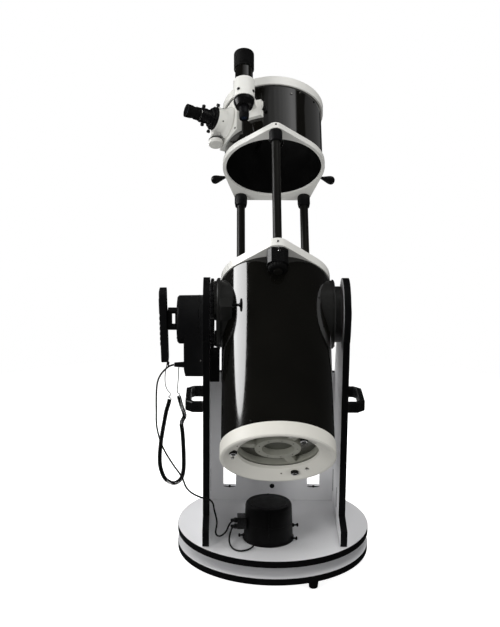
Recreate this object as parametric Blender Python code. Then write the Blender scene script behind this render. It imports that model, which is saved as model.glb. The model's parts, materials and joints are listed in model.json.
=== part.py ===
"""Collapsible three-strut dobsonian telescope with motor drives on both axes.

Metres, +Z up. The origin is on the floor under the middle of the object's bounding box.
The round base turns about the vertical azimuth axis; the tube tilts about an axis along X
and points up and away, towards +Y. The open side of the rocker box faces -Y.
"""
from math import cos, pi, radians, sin, sqrt

import bmesh
import bpy
from mathutils import Matrix, Vector
from mathutils.geometry import convex_hull_2d

GAP = 0.0003            # clearance between pieces that touch

# ---- placement of the axes
AZIMUTH_X, AZIMUTH_Y = 0.0230, -0.0790   # azimuth axis, from the origin
ALTITUDE_Y = -0.0147                     # altitude axis, from the azimuth axis
ALTITUDE_Z = 0.705
TUBE_TILT = radians(44.44)               # tube from the vertical, at rest

# ---- base boards and feet
BASE_RADIUS = 0.265
BOARD = 0.0185
GROUND_BOTTOM = 0.0315
ROCKER_TOP = 0.100
FOOT_RADIUS = 0.2337
FOOT_TOP_R, FOOT_BOTTOM_R = 0.0150, 0.0120
FOOT_DIRECTION = radians(-63.7)
BOLT_R, BOLT_HEAD_R = 0.006, 0.011
BOLT_HEAD_T, NUT_T = 0.006, 0.009

# ---- rocker box
PANEL = 0.0181
SIDE_OUTER = 0.1945
SIDE_INNER = SIDE_OUTER - PANEL
TOE_Y, TOE_Z = -0.1716, 0.142
NECK_Y, NECK_Z = -0.090, 0.156
HEAD_R = 0.097
PANEL_REAR_Y = 0.1700
FRONT_NEAR_Y = 0.151
FRONT_TOP = 0.490
WINDOW_X, WINDOW_W = 0.1215, 0.036
WINDOW_BOTTOM, WINDOW_H = 0.1435, 0.100
AXLE_R = 0.015
CABLE_HOLE_R, CABLE_HOLE_AT = 0.007, (-0.128, 0.222)

# ---- azimuth drive
MOTOR_X, MOTOR_Y = -0.0160, -0.110
MOTOR_BASE_R, MOTOR_TOP_R = 0.0695, 0.0620
MOTOR_H = 0.105
GEAR_OUTER_R, GEAR_INNER_R = 0.125, 0.098

# ---- altitude drive, on the left side panel
DRIVE_Y, DRIVE_Z = -0.020, 0.690
DRIVE_R, DRIVE_OUT = 0.065, 0.069
BOX_OUT, BOX_HALF, BOX_BOTTOM = 0.051, 0.055, 0.547
INNER_BOX_X, INNER_BOX_BOTTOM, INNER_BOX_TOP = -0.1507, 0.529, 0.600
INNER_BOX_HALF = 0.045

# ---- handset and its hanger
HANDSET_X, HANDSET_Y, HANDSET_Z = -0.3000, -0.020, 0.6735
HANDSET_T, HANDSET_LENGTH = 0.0190, 0.199
HANDSET_WIDTH_TOP, HANDSET_WIDTH_BOTTOM = 0.068, 0.054
HANDSET_LEAN = radians(1.5)
HANGER_BOTTOM, HANGER_TOP, HANGER_HALF = 0.666, 0.718, 0.021

# ---- carrying handles
HANDLE_Z, HANDLE_T = 0.4455, 0.029
HANDLE_HALF, HANDLE_OUT = 0.075, 0.048
HANDLE_GRIP = 0.0155

# ---- lower tube, along the tube axis from the altitude axis
TUBE_R, TUBE_WALL = 0.145, 0.0020
TUBE_BOTTOM, TUBE_TOP = -0.3950, 0.1040
RIM_R = 0.148
CELL_BOTTOM, CELL_TOP, CELL_HOLE_R = -0.423, -0.385, 0.104
CELL_DISH = 0.018
MIRROR_R, MIRROR_T, MIRROR_BOTTOM, MIRROR_SAG = 0.127, 0.030, -0.360, 0.0033
CASTING_BOTTOM, CASTING_TOP = -0.3925, -0.3760
SPIDER_ANGLES = (radians(170), radians(-66), radians(58))
COLLIMATION_R, KNOB_STEM_R, KNOB_LENGTH = 0.1150, 0.0040, 0.0115
RING_BORE_R = 0.137
RING_T = 0.022
RING_BOTTOM = 0.092

# ---- struts: three, at these places around the tube axis
STRUT_R, STRUT_AT = 0.0120, 0.170
STRUT_ANGLES = {"front": 0.0, "left": radians(147.0), "right": radians(-147.0)}
STRUT_BOTTOM, FERRULE_BOTTOM, FERRULE_R = 0.026, 0.443, 0.0180
LOBE_R, CAGE_LOBE_R = 0.030, 0.0200
CLAMP_HALF, CLAMP_IN, CLAMP_OUT, CLAMP_T = 0.028, 0.1462, 0.192, 0.0455
COLLAR_R, COLLAR_T = 0.0240, 0.0145

# ---- upper cage
CAGE_RING_BOTTOM, CAGE_RING_T = 0.480, 0.018
CAGE_R = 0.140
CAGE_BOTTOM, CAGE_TOP = 0.4880, 0.690
TOP_RING_BOTTOM, TOP_RING_TOP = 0.668, 0.699
PEAR_ANGLE, PEAR_AT, PEAR_Z = radians(113.0), 0.1500, 0.4890

# ---- focuser, in its own frame: Z out of the tube, Y along the tube, X round it
FOCUSER_Z, FOCUSER_ANGLE = 0.5934, radians(25.1)
BASE_HALF_X, BASE_HALF_Y = 0.056, 0.060
BODY_TOP = 0.1860
DRAWTUBE_R, DRAWTUBE_BORE, DRAWTUBE_BOTTOM = 0.0300, 0.0262, 0.118
DRAWTUBE_TOP = 0.1965
ADAPTER_TOP, EYEPIECE_TOP = 0.2320, 0.2765
SHAFT_X, SHAFT_Z, SHAFT_R = -0.038, 0.166, 0.0030
KNOB_R, KNOB_IN, KNOB_OUT = 0.0205, 0.0420, 0.0600

# ---- finder telescope, parallel to the tube
FINDER_X, FINDER_N = -0.087, 0.182
FINDER_R, FINDER_SHADE_R = 0.0250, 0.0285
FINDER_RING_BOTTOM, FINDER_RING_TOP, FINDER_RING_R = 0.581, 0.644, 0.0300
FINDER_MIDDLE = (FINDER_RING_BOTTOM + FINDER_RING_TOP) / 2
FINDER_TOP, FINDER_SHADE_BOTTOM, FINDER_EYE = 0.744, 0.6866, 0.514
SHOE_ANGLE = radians(23.0)

# ---- altitude hubs, on the sides of the tube
HUB_R, HUB_FACE = 0.096, 0.1585
HUB_RIGHT_R, HUB_RIGHT_FACE = 0.093, 0.1545
HUB_NECK_R, HUB_STEP = 0.0905, 0.1490
HUB_ROOT = 0.060
BEARING_R, WHEEL_BOSS_R = 0.075, 0.018
SHOE_R, SHOE_SPANS = 0.088, (radians(76), radians(44))   # clutch shoes behind the wheel
WHEEL_IN, WHEEL_OUT, WHEEL_RIBS = 0.1652, 0.1752, 30
TENSION_N, TENSION_S = 0.130, -0.048


# ---------------------------------------------------------------- materials and frames
def material(name, colour, roughness, metallic=0.0):
    mat = bpy.data.materials.new(name)
    mat.use_nodes = True
    shader = mat.node_tree.nodes["Principled BSDF"]
    shader.inputs["Base Color"].default_value = (*colour, 1.0)
    shader.inputs["Roughness"].default_value = roughness
    shader.inputs["Metallic"].default_value = metallic
    return mat


def make_materials():
    return {
        "laminate": material("white_laminate", (0.72, 0.74, 0.80), 0.35),
        "white": material("white_paint", (0.82, 0.81, 0.76), 0.35),
        "gloss": material("black_gloss_paint", (0.010, 0.010, 0.010), 0.12),
        "plastic": material("black_plastic", (0.018, 0.018, 0.019), 0.45),
        "rubber": material("black_rubber", (0.015, 0.015, 0.015), 0.80),
        "anodised": material("black_anodised", (0.020, 0.020, 0.022), 0.30, 0.6),
        "steel": material("bright_steel", (0.62, 0.62, 0.62), 0.25, 1.0),
        "mirror": material("mirror_glass", (0.55, 0.60, 0.58), 0.05, 0.9),
    }


def frame(name, parent=None, location=(0, 0, 0), rotation=None):
    empty = bpy.data.objects.new(name, None)
    bpy.context.collection.objects.link(empty)
    empty.parent = parent
    empty.matrix_local = Matrix.Translation(location) @ (rotation or Matrix.Identity(4))
    return empty


def add(name, vertices, faces, mat, parent, location=(0, 0, 0), rotation=None, angle=35):
    """One closed mesh object, outward normals, smooth except at its sharp edges."""
    mesh = bpy.data.meshes.new(name)
    mesh.from_pydata([tuple(v) for v in vertices], [], faces)
    work = bmesh.new()
    work.from_mesh(mesh)
    bmesh.ops.recalc_face_normals(work, faces=work.faces)
    work.to_mesh(mesh)
    work.free()
    mesh.shade_smooth()
    mesh.set_sharp_from_angle(angle=radians(angle))
    if mat is not None:
        mesh.materials.append(mat)
    thing = bpy.data.objects.new(name, mesh)
    bpy.context.collection.objects.link(thing)
    thing.parent = parent
    thing.matrix_local = Matrix.Translation(location) @ (rotation or Matrix.Identity(4))
    return thing


# ---------------------------------------------------------------- solids
def lathe(name, profile, mat, parent, steps=40, wave=0.0, waves=0, **place):
    """Turn an outline of (radius, z) about Z. A point at radius 0 closes an end;
    an outline without one closes on itself, as a ring. wave flutes the outer radii."""
    closed = all(r > 0 for r, z in profile)
    widest = max(r for r, z in profile)
    vertices, rows = [], []
    for r, z in profile:
        if r == 0:
            rows.append([len(vertices)] * steps)
            vertices.append((0, 0, z))
            continue
        rows.append([len(vertices) + k for k in range(steps)])
        for k in range(steps):
            a = 2 * pi * k / steps
            flute = wave * cos(waves * a) if r > widest - 0.003 else 0.0
            vertices.append(((r + flute) * cos(a), (r + flute) * sin(a), z))
    faces = []
    pairs = list(zip(rows, rows[1:] + rows[:1])) if closed else list(zip(rows, rows[1:]))
    for lower, upper in pairs:
        for k in range(steps):
            n = (k + 1) % steps
            loop = [lower[k], lower[n], upper[n], upper[k]]
            unique = [v for i, v in enumerate(loop) if v not in loop[:i]]
            if len(unique) > 2:
                faces.append(unique)
    return add(name, vertices, faces, mat, parent, **place)


def prism(name, outline, low, high, mat, parent, **place):
    """Extrude a flat outline of (x, y) from z = low to z = high."""
    count = len(outline)
    vertices = [(x, y, low) for x, y in outline] + [(x, y, high) for x, y in outline]
    faces = [list(range(count)), list(range(count, 2 * count))]
    for i in range(count):
        n = (i + 1) % count
        faces.append([i, n, n + count, i + count])
    return add(name, vertices, faces, mat, parent, **place)


def box(name, low, high, mat, parent, **place):
    outline = [(low[0], low[1]), (high[0], low[1]), (high[0], high[1]), (low[0], high[1])]
    return prism(name, outline, low[2], high[2], mat, parent, **place)


def rod(name, radius, low, high, parent, steps=24, **place):
    return lathe(name, [(0, low), (radius, low), (radius, high), (0, high)], None, parent,
                 steps=steps, **place)


def slanted_rod(name, radius, bottom, top, slope, mat, parent, steps=28):
    """A rod along Z whose ends rise by slope towards the focuser; slope is (bottom, top)."""
    towards = Vector((-cos(FOCUSER_ANGLE), -sin(FOCUSER_ANGLE)))
    vertices = []
    for level, rise in ((bottom, slope[0]), (top, slope[1])):
        for k in range(steps):
            x, y = radius * cos(2 * pi * k / steps), radius * sin(2 * pi * k / steps)
            vertices.append((x, y, level + rise * (x * towards.x + y * towards.y)))
    faces = [list(range(steps)), list(range(steps, 2 * steps))]
    faces += [[k, (k + 1) % steps, (k + 1) % steps + steps, k + steps] for k in range(steps)]
    return add(name, vertices, faces, mat, parent)


def arc(centre, radius, start, end, steps):
    turn = [start + (end - start) * k / steps for k in range(steps + 1)]
    return [(centre[0] + radius * cos(a), centre[1] + radius * sin(a)) for a in turn]


def combine(target, tools, operation):
    for tool in tools:
        tool.hide_render = True
        tool.display_type = "WIRE"
        modifier = target.modifiers.new(operation.title(), "BOOLEAN")
        modifier.operation = operation
        modifier.object = tool
    return target


def cut(target, *tools):
    return combine(target, tools, "DIFFERENCE")


def join(target, *tools):
    return combine(target, tools, "UNION")


ALONG_X = Matrix.Rotation(pi / 2, 4, "Y")        # local Z becomes +X
ALONG_MINUS_X = Matrix.Rotation(-pi / 2, 4, "Y")
ALONG_Y = Matrix.Rotation(-pi / 2, 4, "X")       # local Z becomes +Y


def around(angle, radius, z=0.0):
    """A place around the tube: angle 0 faces the open side, positive towards -X."""
    return Vector((-radius * sin(angle), -radius * cos(angle), z))


# ---------------------------------------------------------------- ground board
def build_ground(root, mats):
    board = lathe("ground_board", [(0, GROUND_BOTTOM), (BASE_RADIUS, GROUND_BOTTOM),
                                   (BASE_RADIUS, GROUND_BOTTOM + BOARD), (0, GROUND_BOTTOM + BOARD)],
                  mats["laminate"], root, steps=64)
    bolt_hole = rod("bolt_hole", BOLT_R + GAP, 0, 1.5 * ROCKER_TOP, root, steps=16)
    cut(board, bolt_hole)
    for number, side in enumerate(("near", "right", "left")):
        turn = FOOT_DIRECTION + number * 2 * pi / 3
        profile = [(0, 0), (FOOT_BOTTOM_R - 0.002, 0), (FOOT_BOTTOM_R, 0.002),
                   (FOOT_TOP_R, GROUND_BOTTOM - GAP), (0, GROUND_BOTTOM - GAP)]
        lathe("foot_" + side, profile, mats["rubber"], root, steps=20,
              location=(FOOT_RADIUS * cos(turn), FOOT_RADIUS * sin(turn), 0))
    low, high = GROUND_BOTTOM + BOARD + GAP, ROCKER_TOP - BOARD - GAP
    lathe("azimuth_gear_ring", [(GEAR_INNER_R, low), (GEAR_OUTER_R, low),
                                (GEAR_OUTER_R, high), (GEAR_INNER_R, high)],
          mats["plastic"], root, steps=48)
    under, over = GROUND_BOTTOM - BOLT_HEAD_T, ROCKER_TOP + NUT_T
    lathe("azimuth_pivot_bolt", [(0, under), (BOLT_HEAD_R, under), (BOLT_HEAD_R, GROUND_BOTTOM - GAP),
                                 (BOLT_R, GROUND_BOTTOM - GAP), (BOLT_R, ROCKER_TOP + GAP),
                                 (BOLT_HEAD_R, ROCKER_TOP + GAP), (BOLT_HEAD_R, over), (0, over)],
          mats["steel"], root, steps=16)
    return bolt_hole


# ---------------------------------------------------------------- rocker box
def side_outline():
    """The side panel seen along X, as (y, z): a stepped toe, a neck and a round head."""
    bottom = ROCKER_TOP + GAP
    low = sqrt(HEAD_R ** 2 - (NECK_Y - ALTITUDE_Y) ** 2)
    start = pi + pi / 2 - Vector((low, ALTITUDE_Y - NECK_Y)).angle(Vector((1, 0)))
    reach = Vector((PANEL_REAR_Y - ALTITUDE_Y, FRONT_TOP - ALTITUDE_Z))
    tangent = Vector((1, 0)).angle(reach)
    opening = HEAD_R / reach.length
    end = -tangent + (pi / 2 - opening * (1 + opening ** 2 / 6))
    head = arc((ALTITUDE_Y, ALTITUDE_Z), HEAD_R, start, end, 22)
    return [(TOE_Y, bottom), (TOE_Y, TOE_Z), (NECK_Y, NECK_Z)] + head + [
        (PANEL_REAR_Y, FRONT_TOP), (PANEL_REAR_Y, bottom)]


def build_rocker(root, mats, bolt_hole):
    board = lathe("rocker_board", [(0, ROCKER_TOP - BOARD), (BASE_RADIUS, ROCKER_TOP - BOARD),
                                   (BASE_RADIUS, ROCKER_TOP), (0, ROCKER_TOP)],
                  mats["laminate"], root, steps=64)
    cut(board, bolt_hole)
    upright = Matrix.Rotation(pi / 2, 4, "Z") @ Matrix.Rotation(pi / 2, 4, "X")
    axle_hole = rod("axle_hole", AXLE_R + 2 * GAP, -0.3, 0.3, root,
                    location=(0, ALTITUDE_Y, ALTITUDE_Z), rotation=ALONG_X)
    cable_hole = rod("cable_hole", CABLE_HOLE_R, -PANEL, PANEL, root, steps=16,
                     location=(-SIDE_OUTER + PANEL / 2, *CABLE_HOLE_AT), rotation=ALONG_X)
    for side, low in (("left", -SIDE_OUTER), ("right", SIDE_INNER)):
        panel = prism("side_panel_" + side, side_outline(), low, low + PANEL, mats["laminate"],
                      root, rotation=upright)
        cut(panel, axle_hole)
        if side == "left":
            cut(panel, cable_hole)
    front = box("front_panel", (-SIDE_INNER + GAP, FRONT_NEAR_Y, ROCKER_TOP + GAP),
                (SIDE_INNER - GAP, FRONT_NEAR_Y + PANEL, FRONT_TOP), mats["laminate"], root)
    for x in (-WINDOW_X, WINDOW_X):
        cut(front, box("window", (x - WINDOW_W / 2, FRONT_NEAR_Y - 0.01, WINDOW_BOTTOM),
                       (x + WINDOW_W / 2, FRONT_NEAR_Y + PANEL + 0.01, WINDOW_BOTTOM + WINDOW_H),
                       None, root))
    for side, sign in (("left", -1), ("right", 1)):
        build_handle(root, mats, side, sign)
    return axle_hole


def build_handle(root, mats, side, sign):
    """A carrying handle: a chamfered loop that stands out from the side panel."""
    foot, chamfer = SIDE_OUTER + GAP, 0.020
    outer, inner = foot + HANDLE_OUT, foot + HANDLE_OUT - HANDLE_GRIP
    end, hole = HANDLE_HALF, HANDLE_HALF - HANDLE_GRIP
    outline = [(foot, -end), (outer - chamfer, -end), (outer, chamfer - end), (outer, end - chamfer),
               (outer - chamfer, end), (foot, end), (foot, hole), (inner - 0.008, hole),
               (inner, hole - 0.010), (inner, 0.010 - hole), (inner - 0.008, -hole), (foot, -hole)]
    prism("carry_handle_" + side, [(sign * x, y) for x, y in outline], HANDLE_Z,
          HANDLE_Z + HANDLE_T, mats["plastic"], root)


def build_azimuth_drive(root, mats):
    """Motor housing on the rocker board: a tapered drum, a cable socket and four side lugs."""
    profile = [(0, GAP), (MOTOR_BASE_R, GAP), (MOTOR_BASE_R, 0.004), (MOTOR_BASE_R - 0.003, 0.006),
               (MOTOR_TOP_R, MOTOR_H - 0.008), (MOTOR_TOP_R - 0.003, MOTOR_H - 0.002),
               (MOTOR_TOP_R - 0.012, MOTOR_H), (0, MOTOR_H)]
    drum = lathe("azimuth_drive_housing", profile, mats["plastic"], root, steps=36,
                 location=(MOTOR_X, MOTOR_Y, ROCKER_TOP))
    socket = box("cable_socket", (-0.089, -0.032, 0.036), (-0.050, 0.002, 0.070), None, drum)
    lugs = [lathe("lug", [(0, 0.040), (0.006, 0.040), (0.006, 0.078), (0, 0.078)], None, drum,
                  steps=10, location=(0, -0.010, z),
                  rotation=Matrix.Rotation(turn, 4, "Z") @ ALONG_X)
            for turn, z in ((radians(-8), 0.0065), (radians(5), 0.038), (radians(188), 0.0065))]
    join(drum, socket, *lugs)


def build_altitude_drive(root, mats, axle_hole):
    """The round motor cover outside the left panel, with its gland, and the gears inside."""
    outer, face = SIDE_OUTER + GAP, SIDE_OUTER + GAP + DRIVE_OUT
    cover = lathe("altitude_drive_housing", [(0, outer), (DRIVE_R + 0.001, outer), (DRIVE_R, face - 0.005),
                                             (DRIVE_R - 0.005, face), (0, face)],
                  mats["plastic"], root, steps=40, location=(0, DRIVE_Y, DRIVE_Z),
                  rotation=ALONG_MINUS_X)
    lower = prism("lower_box", [(-outer, BOX_BOTTOM), (-outer - BOX_OUT + 0.004, BOX_BOTTOM),
                                (-outer - BOX_OUT, BOX_BOTTOM + 0.018), (-outer - BOX_OUT, DRIVE_Z),
                                (-outer, DRIVE_Z)], -BOX_HALF, BOX_HALF, None, root,
                  location=(0, DRIVE_Y, 0), rotation=Matrix.Rotation(pi / 2, 4, "X"))
    gland = lathe("cable_gland", [(0, 0), (0.0085, 0), (0.0060, 0.030), (0, 0.030)], None, root,
                  steps=14, location=(-outer - BOX_OUT + 0.004, -0.055, 0.574), rotation=ALONG_MINUS_X)
    join(cover, lower, gland)
    cut(cover, axle_hole)
    box("altitude_gear_housing", (-SIDE_INNER + GAP, DRIVE_Y - INNER_BOX_HALF, INNER_BOX_BOTTOM),
        (INNER_BOX_X, DRIVE_Y + INNER_BOX_HALF, INNER_BOX_TOP), mats["plastic"], root)


def build_handset(root, mats):
    hanger_x = -SIDE_OUTER - DRIVE_OUT - 3 * GAP
    plate = HANDSET_X + HANDSET_T / 2 + 3 * GAP
    hanger = box("handset_hanger", (plate, HANDSET_Y - HANGER_HALF, HANGER_BOTTOM),
                 (hanger_x, HANDSET_Y + HANGER_HALF, HANGER_TOP), mats["plastic"], root)
    cut(hanger, box("hanger_gap", (plate + 0.011, HANDSET_Y - 0.05, HANGER_BOTTOM + 0.007),
                    (hanger_x - 0.005, HANDSET_Y + 0.05, HANGER_TOP - 0.007), None, root))
    body = frame("handset_frame", root, (HANDSET_X, HANDSET_Y, HANDSET_Z),
                 Matrix.Rotation(-HANDSET_LEAN, 4, "Y"))
    top, bottom = HANDSET_WIDTH_TOP / 2, HANDSET_WIDTH_BOTTOM / 2
    half, corner = HANDSET_LENGTH / 2, 0.014
    right = arc((bottom - corner, corner - half), corner, -pi / 2, 0, 4)
    right += arc((top - corner, half - corner), corner, 0, pi / 2, 4)
    outline = right + [(-y, z) for y, z in reversed(right)]
    flat = Matrix.Rotation(-pi / 2, 4, "Z") @ Matrix.Rotation(pi / 2, 4, "X")
    shell = prism("handset_shell", outline, -HANDSET_T / 2, HANDSET_T / 2, mats["plastic"], body,
                  rotation=flat)
    key_face = HANDSET_T / 2 - 0.002
    keys_low, keys_high, keys_half = -0.055, 0.030, 0.022
    cut(shell, box("key_well", (-keys_half, keys_low, key_face), (keys_half, keys_high, 0.1), None,
                   body, rotation=flat))
    box("handset_keypad", (2 * GAP - keys_half, keys_low + 2 * GAP, key_face + 0.0012),
        (keys_half - 2 * GAP, keys_high - 2 * GAP, HANDSET_T / 2 + 0.0015), mats["rubber"],
        body, rotation=flat)


# ---------------------------------------------------------------- cords
def smooth_route(points, spacing):
    """Points spacing apart along a Catmull-Rom curve through the route's own points."""
    route = [Vector(p) for p in points]
    ends = [2 * route[0] - route[1]] + route + [2 * route[-1] - route[-2]]
    fine = []
    for a, b, c, d in zip(ends, ends[1:], ends[2:], ends[3:]):
        for k in range(24):
            t = k / 24
            fine.append(0.5 * (2 * b + (c - a) * t + (2 * a - 5 * b + 4 * c - d) * t ** 2
                               + (3 * b - a - 3 * c + d) * t ** 3))
    fine.append(route[-1])
    length = sum((q - p).length for p, q in zip(fine, fine[1:]))
    count = max(4, round(length / spacing))
    even, walked, target = [fine[0]], 0.0, length / count
    for p, q in zip(fine, fine[1:]):
        step = (q - p).length
        while walked + step >= target and len(even) < count:
            even.append(p.lerp(q, (target - walked) / step))
            target += length / count
        walked += step
    return even + [fine[-1]]


def cord(name, points, radius, spacing, resolution, mat, root):
    curve = bpy.data.curves.new(name, "CURVE")
    curve.dimensions = "3D"
    curve.bevel_depth = radius
    curve.bevel_resolution = resolution
    curve.use_fill_caps = True
    spline = curve.splines.new("POLY")
    even = smooth_route(points, spacing)
    spline.points.add(len(even) - 1)
    for point, place in zip(spline.points, even):
        point.co = (*place, 1.0)
    curve.materials.append(mat)
    thing = bpy.data.objects.new(name, curve)
    bpy.context.collection.objects.link(thing)
    thing.parent = root
    return thing


CABLE_R, THIN_R, CURLY_R = 0.0020, 0.0016, 0.0054
DRIVE_CABLE = [(-0.2728, -0.0550, 0.5740), (-0.2854, -0.0570, 0.5698), (-0.3007, -0.0620, 0.5573),
               (-0.3118, -0.0680, 0.5417), (-0.3172, -0.0740, 0.5232), (-0.3190, -0.0800, 0.4923),
               (-0.3190, -0.0860, 0.4563), (-0.3183, -0.0920, 0.4160), (-0.3092, -0.0980, 0.3757),
               (-0.2958, -0.1030, 0.3448), (-0.2735, -0.1100, 0.3095), (-0.2511, -0.1160, 0.2787),
               (-0.2400, -0.1210, 0.2520), (-0.2265, -0.1240, 0.2366), (-0.2080, -0.1270, 0.2270),
               (-0.1950, -0.1280, 0.2225), (-0.1780, -0.1280, 0.2185), (-0.1670, -0.1240, 0.2050),
               (-0.1630, -0.1200, 0.1830), (-0.1560, -0.1200, 0.1500), (-0.1590, -0.1250, 0.1180),
               (-0.1480, -0.1240, 0.1090), (-0.1320, -0.1220, 0.1200), (-0.1205, -0.1235, 0.1460),
               (-0.1076, -0.1250, 0.1565)]
SPARE_LOOP = [(-0.1072, -0.1340, 0.1430), (-0.1160, -0.1380, 0.1370), (-0.1225, -0.1540, 0.1120),
              (-0.1150, -0.1830, 0.1026), (-0.0960, -0.2040, 0.1026), (-0.0720, -0.1960, 0.1026),
              (-0.0575, -0.1800, 0.1050)]
THIN_TOP = [(-0.2915, -0.0340, 0.5728), (-0.2958, -0.0370, 0.5504), (-0.2974, -0.0400, 0.5313),
            (-0.2961, -0.0430, 0.5133), (-0.2907, -0.0450, 0.4990), (-0.2835, -0.0450, 0.4915)]
CURLY = [(-0.2824, -0.0450, 0.4880), (-0.2866, -0.0450, 0.4664), (-0.2935, -0.0450, 0.4427),
         (-0.2991, -0.0450, 0.4141), (-0.3051, -0.0450, 0.3808), (-0.3100, -0.0450, 0.3470),
         (-0.3130, -0.0450, 0.3133), (-0.3119, -0.0450, 0.2796), (-0.3018, -0.0450, 0.2480),
         (-0.2882, -0.0450, 0.2348), (-0.2723, -0.0450, 0.2311), (-0.2560, -0.0450, 0.2432),
         (-0.2490, -0.0450, 0.2652), (-0.2475, -0.0450, 0.2990), (-0.2487, -0.0450, 0.3426),
         (-0.2510, -0.0450, 0.3810), (-0.2535, -0.0450, 0.4010), (-0.2505, -0.0470, 0.4150),
         (-0.2450, -0.0490, 0.4250), (-0.2465, -0.0490, 0.4370), (-0.2525, -0.0470, 0.4530),
         (-0.2585, -0.0450, 0.4750), (-0.2640, -0.0450, 0.4975)]
THIN_BOTTOM = [(-0.2641, -0.0450, 0.4997), (-0.2626, -0.0440, 0.5186), (-0.2612, -0.0410, 0.5366),
               (-0.2608, -0.0365, 0.5550), (-0.2580, -0.0335, 0.5655), (-0.2475, -0.0325, 0.5690)]


def build_cords(root, mats):
    cord("drive_cable", DRIVE_CABLE, CABLE_R, 0.0125, 2, mats["rubber"], root)
    cord("azimuth_cable_loop", SPARE_LOOP, CABLE_R, 0.0100, 2, mats["rubber"], root)
    cord("handset_cord_top", THIN_TOP, THIN_R, 0.0080, 2, mats["rubber"], root)
    cord("handset_cord_curly", CURLY, CURLY_R, 0.0180, 2, mats["rubber"], root)
    cord("handset_cord_bottom", THIN_BOTTOM, THIN_R, 0.0080, 2, mats["rubber"], root)


# ---------------------------------------------------------------- lower tube
def lobed_outline(rim, lobe):
    """The outline of a round rim with a rounded lobe at each strut, as (x, y)."""
    points = [Vector(p) for p in arc((0, 0), rim, 0, 2 * pi, 64)[:-1]]
    for centre in strut_places():
        points += [Vector(p) for p in arc((centre.x, centre.y), lobe, 0, 2 * pi, 20)[:-1]]
    return [tuple(points[i]) for i in convex_hull_2d(points)]


def build_tube(tube, mats):
    lathe("lower_tube", [(TUBE_R - TUBE_WALL, TUBE_BOTTOM), (TUBE_R, TUBE_BOTTOM),
                         (TUBE_R, TUBE_TOP), (TUBE_R - TUBE_WALL, TUBE_TOP)],
          mats["gloss"], tube, steps=64)
    inside = TUBE_R - TUBE_WALL - 0.004
    seat = TUBE_BOTTOM - GAP
    lathe("rear_cell_ring", [(inside, CELL_TOP), (inside, seat), (CELL_HOLE_R, seat),
                             (CELL_HOLE_R, CELL_BOTTOM + CELL_DISH), (RIM_R - 0.009, CELL_BOTTOM),
                             (RIM_R - 0.003, CELL_BOTTOM), (RIM_R, CELL_BOTTOM + 0.003),
                             (RIM_R, CELL_TOP), (TUBE_R + GAP, CELL_TOP), (TUBE_R + GAP, seat),
                             (TUBE_R - TUBE_WALL - GAP, seat), (TUBE_R - TUBE_WALL - GAP, CELL_TOP)],
          mats["white"], tube, steps=64)
    build_mirror_cell(tube, mats)
    ring = prism("tube_top_ring", lobed_outline(RIM_R, LOBE_R), RING_BOTTOM, RING_BOTTOM + RING_T,
                 mats["white"], tube)
    cut(ring, rod("ring_bore", RING_BORE_R, 0.0, 0.3, tube, steps=64),
        rod("ring_seat", TUBE_R + GAP, 0.0, TUBE_TOP + GAP, tube, steps=64))
    for place in strut_places():
        cut(ring, rod("strut_hole", STRUT_R + 2 * GAP, 0.05, 0.2, tube, location=place))
    for name, angle in STRUT_ANGLES.items():
        build_clamp(tube, mats, name, angle)


def strut_places():
    return [around(angle, STRUT_AT) for angle in STRUT_ANGLES.values()]


def build_mirror_cell(tube, mats):
    """The primary mirror, the three-armed casting behind it and its collimation knobs."""
    edge = MIRROR_BOTTOM + MIRROR_T
    lathe("primary_mirror", [(0, MIRROR_BOTTOM), (MIRROR_R, MIRROR_BOTTOM), (MIRROR_R, edge),
                             (MIRROR_R / 2, edge - 0.75 * MIRROR_SAG), (0, edge - MIRROR_SAG)],
          mats["mirror"], tube, steps=48)
    low, high = CASTING_BOTTOM, CASTING_TOP
    casting = lathe("mirror_cell_casting", [(0.100, low), (0.1085, low), (0.1085, high), (0.100, high)],
                    mats["white"], tube, steps=48)
    hub = lathe("hub", [(0.041, low - 0.002), (0.059, low - 0.002), (0.059, high), (0.041, high)],
                None, tube, steps=36)
    arms = [box("arm", (0.050, -0.011, low + 0.001), (0.104, 0.011, high - 0.001), None, tube,
                rotation=Matrix.Rotation(-angle, 4, "Z")) for angle in SPIDER_ANGLES]
    plate = rod("mirror_support", 0.112, high - 0.001, MIRROR_BOTTOM - GAP, tube, steps=48)
    join(casting, hub, *arms, plate)
    for number, angle in enumerate(SPIDER_ANGLES, 1):
        place = (COLLIMATION_R * cos(angle), -COLLIMATION_R * sin(angle), seat_of_knob())
        lathe("collimation_knob_%d" % number,
              [(0, 0), (0.0085, 0), (0.0095, 0.001), (0.0095, 0.0085), (KNOB_STEM_R, 0.009),
               (KNOB_STEM_R, KNOB_LENGTH), (0, KNOB_LENGTH)], mats["steel"], tube, steps=16,
              location=place)


def seat_of_knob():
    """Height of a collimation knob's outer end: its stem stops just short of the dished face."""
    slope = CELL_DISH / (RIM_R - 0.009 - CELL_HOLE_R)
    face = CELL_BOTTOM + CELL_DISH - (COLLIMATION_R + KNOB_STEM_R - CELL_HOLE_R) * slope
    return face - 2 * GAP - KNOB_LENGTH


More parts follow.
